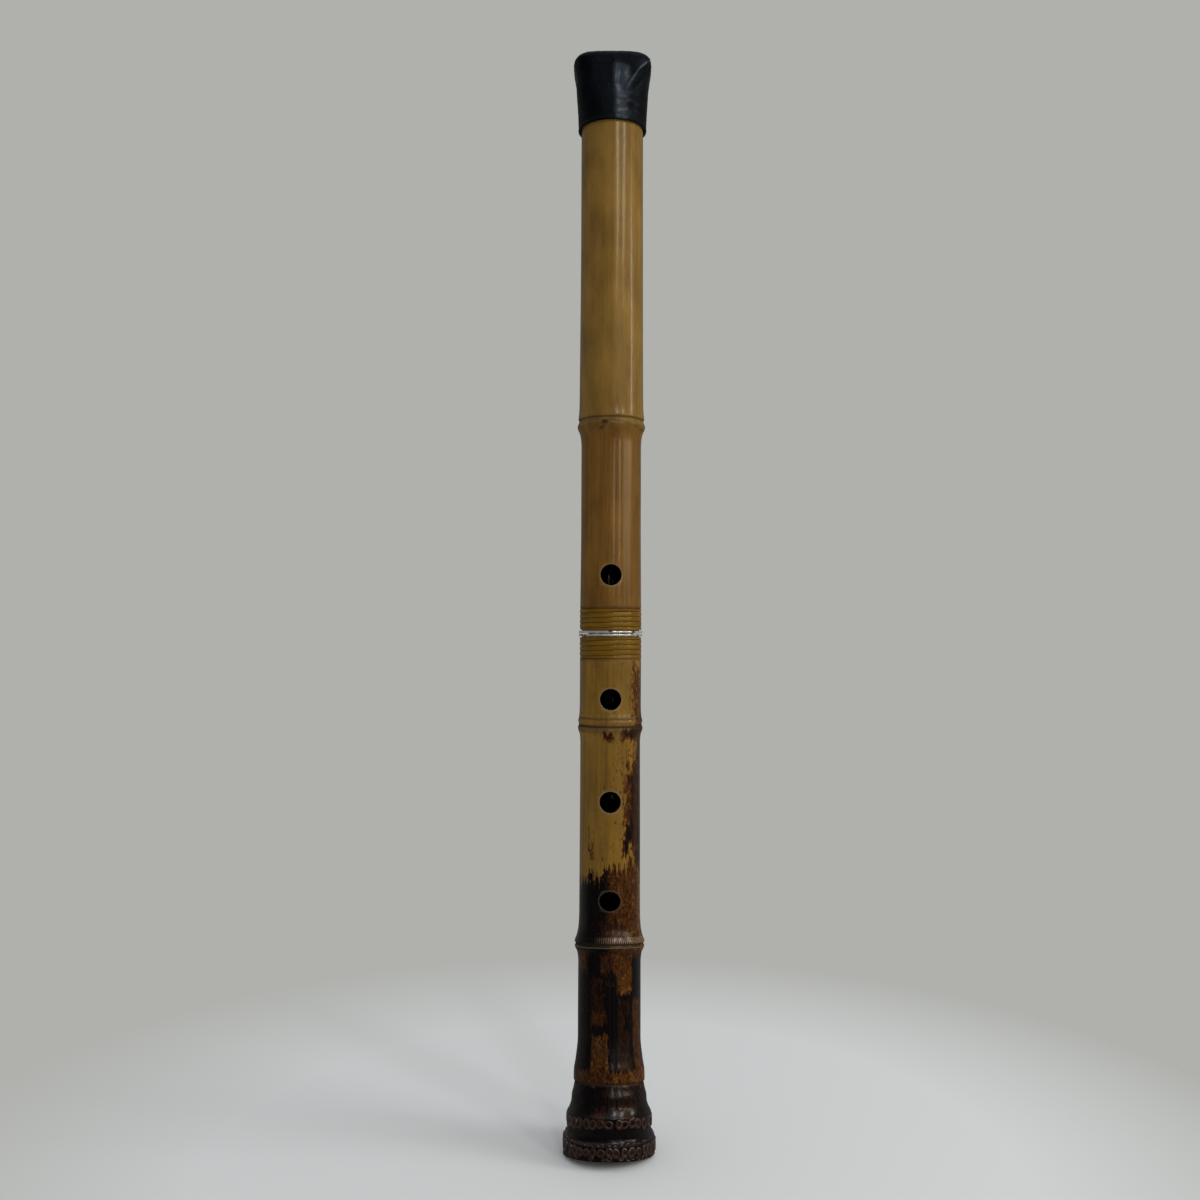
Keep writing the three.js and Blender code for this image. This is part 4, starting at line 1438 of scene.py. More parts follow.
@dataclass(frozen=True)
class RootRing:
    """A band of cut root stumps round the root end.

    Chance varies each stump's place, width, height, tilt and length. The steps are the rises and radii of a
    peg from its root to the pith of its cut.
    """

    name: str
    low: float
    high: float
    radius: float
    stumps: int
    reach: float
    width_share: float
    height_share: float
    seed: int
    shift: float = 0.2
    widths: tuple[float, float] = (0.8, 1.16)
    heights: tuple[float, float] = (0.8, 1.04)
    tilt: float = 14
    lengths: tuple[float, float] = (0.4, 1.0)
    drift: float = 0.35
    sides: int = 14
    sunk: float = 2.75
    face: float = 2.25
    steps: Stations = (
        (2.2, 1.0), (0.3, 0.96), (0.14, 0.84), (0.02, 0.7), (-0.1, 0.5), (-0.08, 0.3), (0.03, 0.12)
    )

    def stump(self) -> Object:
        """Models one cut stump, in mm and along +X: a tapering peg with a raised ring round its pith.

        Returns:
            The stump, which keeps for each vertex how far it is from the pith of the cut.
        """
        pick()
        bpy.ops.mesh.primitive_circle_add(vertices=self.sides, radius=1, fill_type="NOTHING")
        obj = bpy.context.object
        length, size = 0.0, 1.0
        with editing(obj):
            for rise, wide in self.steps:
                bpy.ops.mesh.extrude_region_move(TRANSFORM_OT_translate={"value": (0, 0, rise)})
                length += rise
                share = wide / size
                bpy.ops.transform.resize(value=(share, share, 1), center_override=(0, 0, length))
                size = wide
            bpy.ops.mesh.merge(type="CENTER")
            cap_ends()
        x, y, z = (points_of(obj) * MM).T
        keep_attribute(obj, "cut", np.where(z < self.face, 1.0, 0.1 + 0.75 * np.hypot(x, y)))
        obj.data.transform(Matrix(((0, 0, 1, -self.sunk), (1, 0, 0, 0), (0, 1, 0, 0), (0, 0, 0, 1))))
        return obj

    def build(self) -> None:
        """Copies the stump round the band, each a little different, and joins them to one piece."""
        chance = random.Random(self.seed)
        model = self.stump()
        spacing = 2 * math.pi * self.radius / self.stumps
        copies = []
        for k in range(self.stumps):
            spot = k + chance.uniform(-self.shift, self.shift)
            turn = math.radians(-90) + 2 * math.pi * spot / self.stumps
            copy = model.copy()
            copy.data = model.data.copy()
            bpy.context.scene.collection.objects.link(copy)
            wide = spacing * self.width_share / 2 * chance.uniform(*self.widths)
            tall = (self.high - self.low) * self.height_share / 2 * chance.uniform(*self.heights)
            size = Matrix.Diagonal((1, wide, tall, 1))
            tilt = Matrix.Rotation(math.radians(chance.uniform(-self.tilt, self.tilt)), 4, "X")
            out = Matrix.Translation((self.radius + self.reach * chance.uniform(*self.lengths), 0, 0))
            height = (self.low + self.high) / 2 + chance.uniform(-self.drift, self.drift)
            middle = Matrix.Translation((0, 0, height))
            copy.data.transform(Matrix.Rotation(turn, 4, "Z") @ middle @ out @ tilt @ size)
            points = points_of(copy) * MM
            points[:, 2] = np.maximum(points[:, 2], 0)
            place(copy, AXIS.bend(points))
            copies.append(copy)
        bpy.data.objects.remove(model)
        dress(joined(self.name, copies), Body.LOWER, Slot.ROOT_BAMBOO, STUMPS)


@dataclass(frozen=True)
class LowerSection:
    """The lower bamboo section: three nodes, bands of cut roots and the flat base."""

    base: Outline = ((21.4, 0), (22.35, 0.12))
    root_end: Stations = (
        (0.4, 22.6), (8.7, 22.6), (9.7, 20.92), (10.9, 20.2), (12.1, 20.68), (13.1, 21), (19.7, 21),
        (20.7, 20.44),
    )
    coarse: float = 1.4
    fine: float = 0.4
    fine_below: float = 22
    inner: float = 7
    rings: tuple[RootRing, ...] = (
        RootRing("lower_root_stumps", 2.0, 8.8, 22.5, 37, 0.85, 1.06, 1.0, 5),
        RootRing("edge_root_stumps", 0.2, 2.9, 22.3, 46, 0.75, 0.95, 1.0, 11),
        RootRing("shoulder_root_stumps", 7.3, 9.9, 21.6, 44, 1.0, 0.84, 1.0, 13),
        RootRing("upper_root_stumps", 12.8, 20.0, 20.9, 33, 0.65, 1.08, 0.96, 8),
    )

    def stations(self) -> Stations:
        """Shapes the section's outline.

        Returns:
            Pairs of height and radius, from the base to the joint.
        """
        _, _, recess = FORM.seat(-1)
        fifth, fourth, third = FORM.fifth_node, FORM.fourth_node, FORM.third_node
        return [
            *self.root_end,
            *fifth.stations(),
            ((fifth.height + fourth.height) / 2, FORM.root_radius),
            *fourth.stations(),
            ((fourth.height + third.height) / 2, (FORM.lower_radius + FORM.middle_radius) / 2),
            *third.stations(),
            (recess, FORM.joint_radius),
        ]

    def spacing(self, height: float) -> float:
        """Sets the mesh rows closer at the nodes and at the root end.

        Args:
            height: Height on the culm in mm.

        Returns:
            The widest gap between rows there.
        """
        nodes = (FORM.fifth_node, FORM.fourth_node, FORM.third_node)
        near = any(-4 < height - node.height < 4 for node in nodes)
        return self.fine if near or height < self.fine_below else self.coarse

    def build(self) -> None:
        """Builds the section with its stumps, bore lining and socket lining."""
        end, _, recess = FORM.seat(-1)
        holes, stations = FORM.holes[:3], self.stations()
        fixed = [*PiercedTube.rows(holes), *(height for height, _ in stations)]
        rows = rows_between(self.root_end[0][0], recess - FORM.seat_bevel, fixed, self.spacing)
        outside = [*self.base, *skin(stations, rows), (FORM.joint_radius - FORM.seat_edge, recess)]
        outside += FORM.seat_rows(recess, end)
        floor, sleeve = FORM.tenon_foot - FORM.slide_gap, FORM.tenon_radius + FORM.slide_gap
        socket = sleeve + FORM.socket_wall + FORM.glue_gap
        inner_rows = rows_between(0, floor, PiercedTube.rows(holes), lambda height: self.inner)
        inside = [*FORM.hollow_rows(inner_rows), (socket, floor), (socket, end)]
        materials = [SMOKED.material(), LACQUER.material()]
        obj = PiercedTube("root_section", outside, inside, holes, materials, rows_inside=6).build()
        fifth, fourth, third = FORM.fifth_node.height, FORM.fourth_node.height, FORM.third_node.height
        # Dark bands: at the third node an upper line and the node's own line, each with painted shade in its
        # groove, then painted shade under its bulge; the fourth and fifth nodes' lines with painted shade in
        # their grooves; and painted shade beside the binding.
        creases = (
            DarkBand(third + 2.6, 0.6, 0.1, 0.6), DarkBand(third - 1.3, 0.85, 0.25, 1.0),
            DarkBand(third - 3.2, 1.2, 0, 0.42), DarkBand(fourth + 0.2, 0.45, 0.2, 0.92),
            DarkBand(fifth + 0.1, 0.6, 0.25, 0.95), DarkBand(recess - 0.2, 0.45, 0, 0.55),
        )
        CulmSurface(creases, holes, 17).apply(obj)
        dress(obj, Body.LOWER, Slot.ROOT_BAMBOO, SMOKED, "lower_bamboo")
        for ring in self.rings:
            ring.build()
        lining = bore_lining("lower_bore", inner_rows, holes, rows_outside=6, rows_inside=6)
        dress(bend(lining), Body.LOWER, Slot.LACQUER, LACQUER, "lower_bore_lining")
        outer, foot = sleeve + FORM.socket_wall, FORM.tenon_foot
        outline = [(outer, foot), (outer, end), (sleeve + FORM.chamfer, end)]
        outline += [(sleeve, end - FORM.chamfer), (sleeve, foot)]
        dress(bend(turned("socket", outline)[0]), Body.LOWER, Slot.LACQUER, LACQUER, "socket_lining")


@dataclass(frozen=True)
class MiddleJoint:
    """The joint: the tenon, the two silver rings at the seam and the rattan wound beside each."""

    ring_radius: float = 16.1
    ring_height: float = 1.2
    bead: float = 0.5
    lead: float = 0.6
    strip_width: float = 2.4
    strip_point: float = 0.16
    fill: float = 0.1
    starts: tuple[float, float] = (120, 90)
    pitch: float = 2.5
    steps: int = 96
    sides: int = 12
    crown: Stations = ((0, -1), (0.66, -1), (0.84, -0.95), (0.94, -0.8), (0.99, -0.4), (1.0, 0))

    def tenon(self) -> Object:
        """Builds the lacquered pipe that plugs the sections together, with a lead at its foot.

        Returns:
            The new object.
        """
        outer, bore, foot, head = FORM.tenon_radius, FORM.tenon_bore, FORM.tenon_foot, FORM.tenon_head
        lead, cut = self.lead, FORM.chamfer
        outline = [(outer - lead, foot), (outer - lead / 4, foot + lead / 4), (outer, foot + lead)]
        outline += [(outer, lerp(foot, head, share)) for share in (0.3, 0.6, 0.9)]
        outline += [(outer, head - cut), (outer - cut, head), (bore + cut, head), (bore, head - cut)]
        return turned("tenon_pipe", [*outline, (bore, foot + lead / 2), (bore + lead / 2, foot)])[0]

    def ring(self, name: str, way: int) -> Object:
        """Builds a silver ring: a rolled bead over the bamboo's end and a flange over its face.

        Args:
            name: Name of the piece.
            way: 1 for the upper section, -1 for the lower one.

        Returns:
            The new object, still straight.
        """
        radius, bead, height = self.ring_radius, self.bead, self.ring_height
        inner, band = FORM.tenon_radius + FORM.slide_gap, FORM.seat_radius + FORM.glue_gap
        arcs = [(math.sin(k * math.pi / 10), math.cos(k * math.pi / 10)) for k in range(6)]
        profile = [(inner, 0.0), *((radius - bead + bead * sin, bead - bead * cos) for sin, cos in arcs)]
        profile += [(radius - bead / 2 + bead / 2 * cos, height - bead + bead * sin) for sin, cos in arcs]
        profile += [(band, height), (band, FORM.ring_flange), (inner, FORM.ring_flange)]
        seam = FORM.joint + way * FORM.seam_gap / 2
        return turned(name, [(r, seam + way * rise) for r, rise in profile])[0]

    def binding(self, name: str, low: float, start: float) -> Object:
        """Winds a rattan strip round its seat with a screw modifier, its ends pared to points.

        Args:
            name: Name of the piece.
            low: Height of the seat's lower end.
            start: Degrees at which the strip starts, anticlockwise from +X.

        Returns:
            The new object.
        """
        sides, half, point = self.sides, self.strip_width / 2, self.strip_point
        inner, high = FORM.seat_radius + FORM.film, low + FORM.binding_length + self.fill
        turns = (high - low + 2 * half - 2 * point) / self.pitch
        profile = [*self.crown, *((rise, -across) for rise, across in reversed(self.crown[:5])), (0, 0)]
        pick()
        bpy.ops.mesh.primitive_circle_add(vertices=sides, radius=1)
        obj = bpy.context.object
        obj.name = obj.data.name = name
        for vert, (rise, across) in zip(obj.data.vertices, profile):
            vert.co = Vector((inner + rise, 0, low - half + point + across * half)) * MM
        twist = obj.modifiers.new("winding", "SCREW")
        twist.angle, twist.screw_offset = 2 * math.pi * turns, self.pitch * turns * MM
        twist.steps = twist.render_steps = round(turns * self.steps)
        bpy.ops.object.modifier_apply(modifier=twist.name)
        points = points_of(obj)
        along = (np.arange(len(points)) // sides) * 2 * math.pi * inner / self.steps
        across = np.array([across for _, across in profile])[np.arange(len(points)) % sides]
        keep_attribute(obj, "strip", np.column_stack([along, across, 0 * along]))
        points[:, 2] += 0.1 * noise_at(points, (7, 7, 3), low)
        points[:, 2] = np.clip(points[:, 2], low, high)
        place(obj, points * MM)
        with editing(obj):
            cap_ends()
        turn = np.array(Matrix.Rotation(math.radians(start), 3, "Z"))
        place(obj, AXIS.bend(points_of(obj) @ turn.T))
        return obj

    def build(self) -> None:
        """Builds the whole joint."""
        pipe, upper_ring, lower_ring = self.tenon(), self.ring("upper_ring", 1), self.ring("lower_ring", -1)
        for obj in (pipe, upper_ring, lower_ring):
            weld(bend(obj))
        dress(pipe, Body.UPPER, Slot.LACQUER, LACQUER, "tenon")
        dress(upper_ring, Body.COLLAR, Slot.SILVER, SILVER, "upper_silver_ring")
        dress(lower_ring, Body.LOWER, Slot.SILVER, SILVER, "lower_silver_ring")
        upper_foot, lower_foot = FORM.seat(1)[1], FORM.seat(-1)[1] - FORM.binding_length - self.fill
        upper = self.binding("upper_binding", upper_foot, self.starts[0])
        lower = self.binding("lower_binding", lower_foot, self.starts[1])
        dress(upper, Body.UPPER, Slot.RATTAN, RATTAN, "upper_rattan_binding")
        dress(lower, Body.LOWER, Slot.RATTAN, RATTAN, "lower_rattan_binding")


@dataclass(frozen=True)
class Fold:
    """A fold pressed in the leather, between two places in degrees right of the front and mm of height."""

    turn: float
    height: float
    to_turn: float
    to_height: float
    rise: float
    width: float

    def mark(self, turn: np.ndarray, height: np.ndarray, scale: float) -> np.ndarray:
        """How far the fold moves the leather.

        Args:
            turn: Degrees to the right of the front.
            height: Heights in mm.
            scale: Millimetres on the wall for one degree.

        Returns:
            Millimetres outwards at each place.
        """
        start = np.array([self.turn * scale, self.height])
        run = np.array([self.to_turn * scale, self.to_height]) - start
        length = np.hypot(*run)
        off = np.column_stack([turn * scale, height]) - start
        along = off @ run / length**2
        across = (off[:, 0] * run[1] - off[:, 1] * run[0]) / length
        ends = smooth((along + 0.15) / 0.3) * smooth((1.15 - along) / 0.3)
        return self.rise * ends * bell(across / self.width)


@dataclass(frozen=True)
class MouthCap:
    """The leather cap over the mouth end: a flaring wall with a folded lip, a crown disc and a felt pad.

    The wrinkles are the depth, sizes and seed of its broad dents, of those where the hand has worn it, and of
    its grain. The hem and the seam's groove are a depth and a width. The worn patch and the one that the hand
    has polished, which also carries a painted highlight, are the degrees of their middle and their half
    width, and their lowest and highest place.
    """

    cover: float = 29.6
    top_radius: float = 19.8
    corner: float = 3.2
    lip_width: float = 3.4
    squareness: float = 4
    leather: float = 0.9
    crown_radius: float = 15.8
    crown_thickness: float = 1.2
    crown_edge: float = 0.35
    pad_radius: float = 15.4
    pad_thickness: float = 1.8
    pad_edge: float = 0.5
    columns: int = 192
    row_height: float = 0.42
    mean_radius: float = 18
    foot_edge: tuple[float, float] = (0.12, 0.15)
    sag: float = 0.12
    swell: float = 0.12
    stitches: int = 11
    stitch: tuple[float, float, float] = (1.25, 0.26, 0.26)
    stitch_lean: float = 32
    seam_ends: tuple[float, float] = (2.5, 6.5)
    pleats: int = 30
    pleat_depth: float = 0.05
    hem: tuple[float, float] = (0.22, 0.55)
    seam_groove: tuple[float, float] = (0.3, 0.45)
    wrinkles: tuple[Swell, ...] = (
        (0.18, (9, 9, 11), 21), (0.16, (2.4, 2.4, 1.6), 33), (0.07, (3, 3, 3), 40)
    )
    worn: tuple[float, float, float, float] = (28, 30, 514, 536)
    palm_sheen: tuple[float, float, float, float] = (15, 12, 524, 544)
    flare: Stations = ((0, 0), (0.26, 0.14), (0.56, 0.36), (0.78, 0.55), (0.93, 0.85), (1, 1))
    folds: tuple[Fold, ...] = tuple(Fold(*row) for row in (
        (54, 547.5, 36, 540, 0.75, 0.6), (36, 540, 20, 530.5, 0.8, 0.55), (60, 544, 46, 536.5, -0.9, 1.3),
        (46, 536.5, 28, 529.5, -0.75, 1.1), (40, 547, 22, 538, -0.5, 1.2), (66, 545, 55, 533, 0.35, 0.9),
        (50, 531, 35, 527, 0.3, 0.7), (40, 534, 33, 528.5, -0.3, 0.6), (12, 541, 8, 531, -0.3, 1.6),
        (3, 546, 6, 517, 0.3, 2.2), (-60, 545, -66, 529, 0.3, 1.6), (25, 521, 5, 518.5, 0.2, 0.7),
        (48, 523.5, 24, 525, 0.22, 0.8), (62, 519, 38, 520.5, 0.2, 0.7), (-40, 519, -75, 522, 0.18, 1.0),
        (120, 546, 105, 528, 0.35, 1.2), (-128, 546, -112, 530, 0.35, 1.2), (150, 522, 118, 519, 0.2, 0.9),
        (-150, 520, -110, 523, 0.2, 0.9),
    ))

    @property
    def skirt(self) -> float:
        """The wall's outer radius at its foot."""
        return FORM.mouth_radius + FORM.glue_gap + self.leather

    def heights(self) -> tuple[float, float, float, float]:
        """Stacks the pad, the crown and the leather over the rim.

        Returns:
            The heights of the wall's foot, the pad's foot, the crown's foot and the top.
        """
        pad_foot = FORM.length + FORM.glue_gap
        crown_foot = pad_foot + self.pad_thickness + FORM.glue_gap
        top = crown_foot + self.crown_thickness + FORM.glue_gap + self.leather
        return FORM.length - self.cover, pad_foot, crown_foot, top

    def pull(self, points: np.ndarray, share: np.ndarray) -> tuple[np.ndarray, np.ndarray]:
        """Millimetres that the leather stands out or in, from its folds, dents and fine wrinkles.

        Args:
            points: Rows of x, y and z in mm.
            share: How far each point follows, 1 on the outside.

        Returns:
            One value for each row, and how glossy the hand has made it, from 0 to 1, which also places a
            painted highlight on that patch and on the folds' ridges.
        """
        x, y, height = points.T
        foot, _, _, top = self.heights()
        turn = np.degrees(np.arctan2(x, -y))
        scale = math.radians(self.mean_radius)
        moved = sum(fold.mark(turn, height, scale) for fold in self.folds)
        broad, fine, grain = (depth * noise_at(points, sizes, seed) for depth, sizes, seed in self.wrinkles)
        middle, half, low, high = self.worn
        worn = bell((turn - middle) / half) * smooth((high - height) / 6) * smooth((height - low) / 3)
        rim = smooth((height - 543) / 4) * smooth((top + 1 - height) / 2)
        pleats = self.pleat_depth * np.cos(np.radians(turn) * self.pleats) * rim
        hem = self.hem[0] * bell((height - foot - self.hem[1]) / self.hem[1])
        seam = -self.seam_groove[0] * bell((180 - np.abs(turn)) * scale / self.seam_groove[1])
        free = smooth((height - foot) / 22)
        # Where the hand has polished: it gets the gloss and a painted highlight, as do the folds' ridges.
        middle, half, low, high = self.palm_sheen
        palm_sheen = bell((turn - middle) / half) * smooth((high - height) / 4)
        palm_sheen = palm_sheen * lerp(0.5, 1, smooth((height - low) / 9))
        rubbed = np.clip(0.8 * palm_sheen + np.maximum(moved, 0), 0, 1)
        moved = (moved + broad) * lerp(0.45, 1.0, free) + worn * fine + grain + pleats + hem + seam
        return share * np.maximum(moved, lerp(-0.2, -1.2, free)), rubbed

    def wall(self) -> Object:
        """Builds the wall, whose plan turns from a circle at its foot to a rounded square at its top.

        Returns:
            The new object.
        """
        foot, _, _, top = self.heights()
        shoulder, centre, inner = top - self.corner, self.top_radius - self.corner, self.corner - self.leather
        rows = rows_between(foot + self.foot_edge[1], shoulder, [], lambda height: self.row_height)
        shares = (np.array(rows) - foot) / (shoulder - foot)
        flares = flowing(self.flare, shares)
        side = [(lerp(self.skirt, self.top_radius, share), row) for share, row in zip(flares, rows)]
        turns = [k * math.pi / 20 for k in range(1, 11)]
        arc, back = (
            [(centre + size * math.cos(turn), shoulder + size * math.sin(turn)) for turn in turns]
            for size in (self.corner, inner)
        )
        lip = centre - self.lip_width
        face = [(lerp(centre, lip, share), top - self.sag * share) for share in (0.25, 0.5, 0.75, 0.95)]
        under = [(lip, top - 0.3), (lip, top - self.leather + 0.05), (lip + 0.3, top - self.leather)]
        down = [(radius - self.leather, row) for radius, row in reversed(side[::4])]
        outline = [(self.skirt - self.foot_edge[0], foot), *side, *arc, *face, *under, *reversed(back), *down]
        obj, order = turned("cap_leather", [*outline, (self.skirt - self.leather, foot)], self.columns)
        x, y, height = points_of(obj).T
        power = lerp(2, self.squareness, smooth((height - foot) / (shoulder - foot)))
        angle = np.arctan2(y, x)
        spread = (np.abs(np.cos(angle)) ** power + np.abs(np.sin(angle)) ** power) ** (-1 / power)
        points = np.column_stack([x * spread, y * spread, height])
        share = np.zeros(order.shape)
        count = 1 + len(side) + len(arc)
        share[:count] = 1
        share[count : count + len(face)] = np.array([0.8, 0.5, 0.3, 0.2])[:, None]
        share = share.ravel()[np.argsort(order.ravel())]
        moved, rubbed = self.pull(points, share)
        # Stores the gloss mask with its painted highlight, for the leather's material.
        keep_attribute(obj, "rubbed", rubbed)
        level = smooth((height - shoulder) / self.corner)
        stretch = 1 + moved * (1 - level) / np.hypot(points[:, 0], points[:, 1])
        points *= np.column_stack([stretch, stretch, np.ones(len(points))])
        points[:, 2] += np.minimum(moved * level - 0.15 * level * share, 0)
        place(obj, AXIS.bend(points))
        return obj

    def disc(self, name: str, radius: float, foot: float, thickness: float, edge: float) -> Object:
        """Builds a disc with rounded edges, whose upper face swells a little.

        Args:
            name: Name of the piece.
            radius: Outer radius.
            foot: Height of its lower face.
            thickness: Its thickness at the rim.
            edge: Radius of its edges.

        Returns:
            The new object.
        """
        turns = [k * math.pi / 8 for k in range(5)]
        centre, head = radius - edge, foot + thickness
        lower = [(centre + edge * math.sin(t), foot + edge * (1 - math.cos(t))) for t in turns]
        upper = [(centre + edge * math.cos(t), head - edge * (1 - math.sin(t))) for t in turns]
        rings = [centre * k / 10 for k in range(9, -1, -1)]
        flat = [*((r, head) for r in rings), (0, foot), *((r, foot) for r in rings[-2::-1])]
        obj, _ = turned(name, [*lower, *upper, *flat])
        points = points_of(obj)
        inside = smooth((centre - np.hypot(points[:, 0], points[:, 1])) / 4)
        swell = self.swell * noise_at(points, (5, 5, 5), 3)
        points[:, 2] += inside * np.where(points[:, 2] > foot + thickness / 2, swell, 0)
        place(obj, points * MM)
        weld(obj)
        with editing(obj):
            bpy.ops.mesh.delete_loose(use_verts=True, use_edges=True, use_faces=False)
        return bend(obj)

    def seam(self) -> Object:
        """Sews the back seam with slanting stitches of waxed thread, each its own small capsule.

        Returns:
            The new object.
        """
        foot, _, _, top = self.heights()
        low, high = foot + self.seam_ends[0], top - self.seam_ends[1]
        made = []
        for k in range(self.stitches):
            height = lerp(low, high, k / (self.stitches - 1))
            share = (height - foot) / (top - self.corner - foot)
            radius = lerp(self.skirt, self.top_radius, float(flowing(self.flare, np.array([share]))[0]))
            pick()
            bpy.ops.mesh.primitive_uv_sphere_add(segments=12, ring_count=8, radius=1)
            obj = bpy.context.object
            turn = Matrix.Rotation(math.radians(self.stitch_lean if k % 2 else -self.stitch_lean), 4, "Y")
            size = Matrix.Diagonal((*self.stitch, 1))
            obj.data.transform(Matrix.Translation((0, radius + 0.1, height)) @ turn @ size)
            place(obj, AXIS.bend(points_of(obj) * MM))
            made.append(obj)
        return joined("cap_seam_stitches", made)

    def build(self) -> None:
        """Builds the cap."""
        _, pad_foot, crown_foot, _ = self.heights()
        dress(self.wall(), Body.CAP, Slot.LEATHER, LEATHER, "cap_wall")
        crown_sizes = (self.crown_radius, crown_foot, self.crown_thickness, self.crown_edge)
        crown = self.disc("cap_crown_disc", *crown_sizes)
        dress(crown, Body.CAP, Slot.LEATHER, LEATHER, "cap_crown")
        pad = self.disc("felt_pad", self.pad_radius, pad_foot, self.pad_thickness, self.pad_edge)
        dress(pad, Body.CAP, Slot.FELT, FELT, "cap_pad")
        dress(self.seam(), Body.CAP, Slot.LEATHER, THREAD)


# The studio


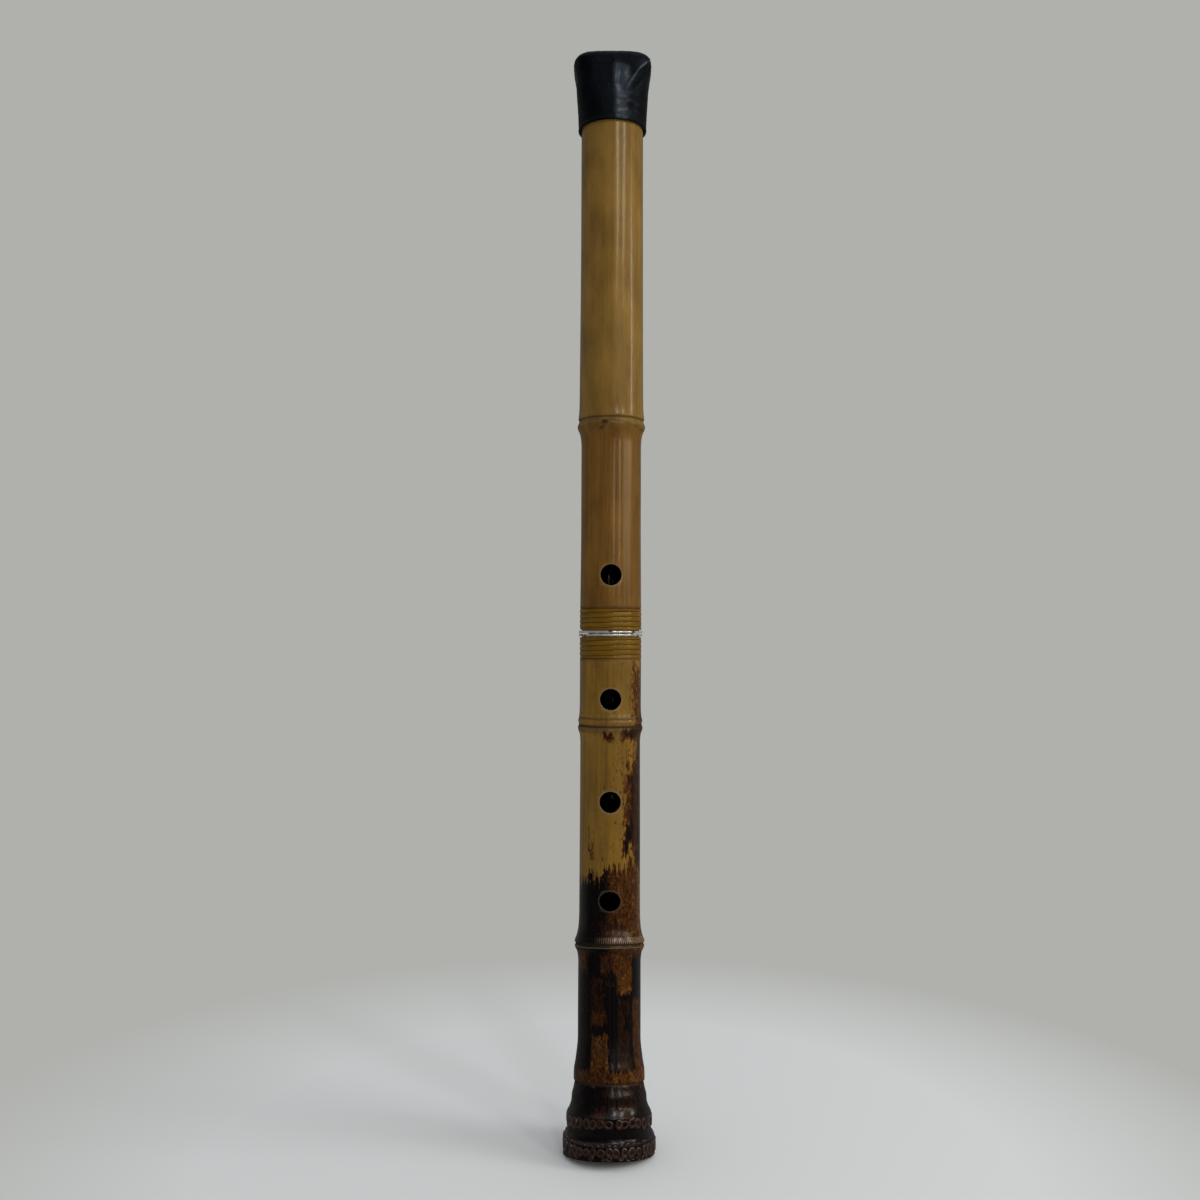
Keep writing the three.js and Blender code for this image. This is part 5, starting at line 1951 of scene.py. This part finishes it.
@dataclass(frozen=True)
class Strip:
    """A rectangular lamp, aimed at the flute. Its sizes are in metres, its power in watts."""

    name: str
    azimuth: float
    height: float
    width: float
    tall: float
    power: float
    colour: str = "#ffffff"
    glossy: bool = True
    distance: float = 2.0
    aim: float = 0.27

    def hang(self) -> None:
        """Adds the lamp, at degrees to the right of the camera as seen from the flute."""
        turn = math.radians(self.azimuth)
        at = Vector((self.distance * math.sin(turn), -self.distance * math.cos(turn), self.height))
        bpy.ops.object.light_add(type="AREA", location=at)
        lamp = bpy.context.object
        lamp.name = lamp.data.name = self.name
        lamp.data.shape = "RECTANGLE"
        lamp.data.size, lamp.data.size_y, lamp.data.energy = self.width, self.tall, self.power
        lamp.data.color = linear(self.colour)[:3]
        lamp.visible_glossy = self.glossy
        lamp.rotation_euler = (Vector((0, 0, self.aim)) - at).to_track_quat("-Z", "Y").to_euler()
        lamp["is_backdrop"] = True


@dataclass(frozen=True)
class Studio:
    """Camera, lamps, world and floor."""

    wall: str = "#b0b1ad"
    mirrored: str = "#5e5e5b"
    room: str = "#27282b"
    ceiling: str = "#a9b0b8"
    ground: str = "#e4e7e8"
    ambient: float = 0.5
    eye: tuple[float, float, float] = (-0.00545, -0.6112, 0.2575)
    tilt: float = 1.6
    roll: float = 0.22
    lens: float = 36
    strips: tuple[Strip, ...] = (
        Strip("window_left_pane", 19, 1.49, 0.24, 0.82, 4.6),
        Strip("window_middle_pane", 43, 1.49, 0.26, 0.82, 5),
        Strip("window_right_pane", 77, 0.95, 0.16, 0.45, 2.2),
        Strip("left_sill", 12, 0.57, 0.1, 0.3, 0.6, "#fff0d8"),
        Strip("middle_sill", 34, 0.57, 0.2, 0.3, 1.1, "#fff0d8"),
        Strip("right_sill", 64, 0.57, 1.2, 0.3, 2.7, "#fff0d8"),
        Strip("soft_key", 77, 1.1, 1.0, 1.0, 14, glossy=False),
    )

    def camera(self) -> None:
        """Adds the camera, level with the joint and 0.6 m in front of the flute's axis."""
        bpy.ops.object.camera_add(location=Vector(self.eye) + Vector((0, AXIS.y * MM, 0)))
        camera = bpy.context.object
        camera.data.lens = camera.data.sensor_width = self.lens
        level = Matrix.Rotation(math.radians(90 + self.tilt), 3, "X")
        camera.rotation_euler = (level @ Matrix.Rotation(math.radians(self.roll), 3, "Z")).to_euler()
        bpy.context.scene.camera = camera

    def seen(self, add: Add) -> Input:
        """Tells the rays that show the background itself: from the camera, a gloss or through glass.

        Args:
            add: Adds a node.

        Returns:
            1 for such a ray, and 0 for any other.
        """
        path = add("LightPath").node
        total = add("Math ADD", path.outputs["Is Camera Ray"], path.outputs["Is Glossy Ray"])
        return add("Math ADD", total, path.outputs["Is Transmission Ray"], use_clamp=True)

    def shown(self, add: Add, side: Input, above: Input = 0.0) -> Input:
        """Returns the background's colour, which glosses show dimmer towards the room.

        Args:
            add: Adds a node.
            side: From 0 towards the room, in front of the flute, to 1 towards the wall.
            above: From 0 at the level of the flute to 1 at the ceiling.

        Returns:
            The colour.
        """
        mirrored = add("Mix RGBA", side, self.room, self.mirrored)
        mirrored = add("Mix RGBA", above, mirrored, self.ceiling)
        return add("Mix RGBA", add("LightPath").node.outputs["Is Glossy Ray"], self.wall, mirrored)

    def world(self) -> None:
        """Makes the world: a pale wall to the eye, and a plain soft light on the flute."""
        world = bpy.data.worlds.new("plain_room")
        world.use_nodes = True
        bpy.context.scene.world = world
        add = Recipe(world.node_tree).add
        depth, height = add("SeparateXYZ", add("TexCoord")).node.outputs[1:3]
        side = add("MapRange", depth, -0.1, 0.6, 0.0, 1.0)
        above = add("MapRange", height, 0.55, 0.85, 0.0, 1.0)
        shown = add("Background", self.shown(add, side, above), 1.0)
        light = add("Background", "#ffffff", self.ambient)
        add("OutputWorld", add("MixShader", self.seen(add), light, shown))

    def floor(self) -> None:
        """Lays the floor, which fades into the wall's colour with distance and keeps the flute's shadow."""
        pick()
        bpy.ops.mesh.primitive_circle_add(vertices=96, radius=3, fill_type="NGON")
        floor = bpy.context.object
        floor.name = floor.data.name = "floor"
        material, recipe = new_material("pale_floor")
        add = recipe.add
        spot, glossy = add("TexCoord", out=3), add("LightPath").node.outputs["Is Glossy Ray"]
        far = add("MapRange", add("VectorMath LENGTH", spot), 0.2, 0.36, 0.0, 1.0)
        depth = add("SeparateXYZ", spot).node.outputs[1]
        edge = add("Math MULTIPLY", add("MapRange", depth, -0.015, -0.05, 0.0, 1.0), glossy)
        side = add("MapRange", depth, -0.04, 0.2, 0.0, 1.0)
        glow = add("Emission", self.shown(add, side), 1.0)
        ground = add("Mix RGBA", glossy, self.ground, self.mirrored)
        plain = add("BsdfPrincipled", ground, Roughness=0.9, Specular_IOR_Level=0.1)
        share = add("Math MULTIPLY", add("Math MAXIMUM", far, edge), self.seen(add))
        add("OutputMaterial", add("MixShader", share, plain, glow))
        floor.data.materials.append(material)
        floor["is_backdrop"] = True

    def build(self) -> None:
        """Sets up the whole studio."""
        self.camera()
        for strip in self.strips:
            strip.hang()
        self.world()
        self.floor()
        bpy.context.scene.view_settings.view_transform = "Standard"
        LOG.info("studio: %d lamps", len(self.strips))


def write_sizes() -> None:
    """Gathers the boxes of the CAD and of the dressed flute, as lists of their corners in metres, without
    writing them anywhere.
    """
    boxes = {"cad": CAD_BOX, "visual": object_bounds()}
    {name: [list(low), list(high)] for name, (low, high) in boxes.items()}


def main() -> None:
    """Builds the flute and its studio."""
    logging.basicConfig(level=logging.INFO, format="%(name)s: %(message)s")
    for part in (UpperSection(), LowerSection(), MiddleJoint(), MouthCap()):
        part.build()
    Studio().build()
    write_sizes()


if __name__ == "__main__":
    main()
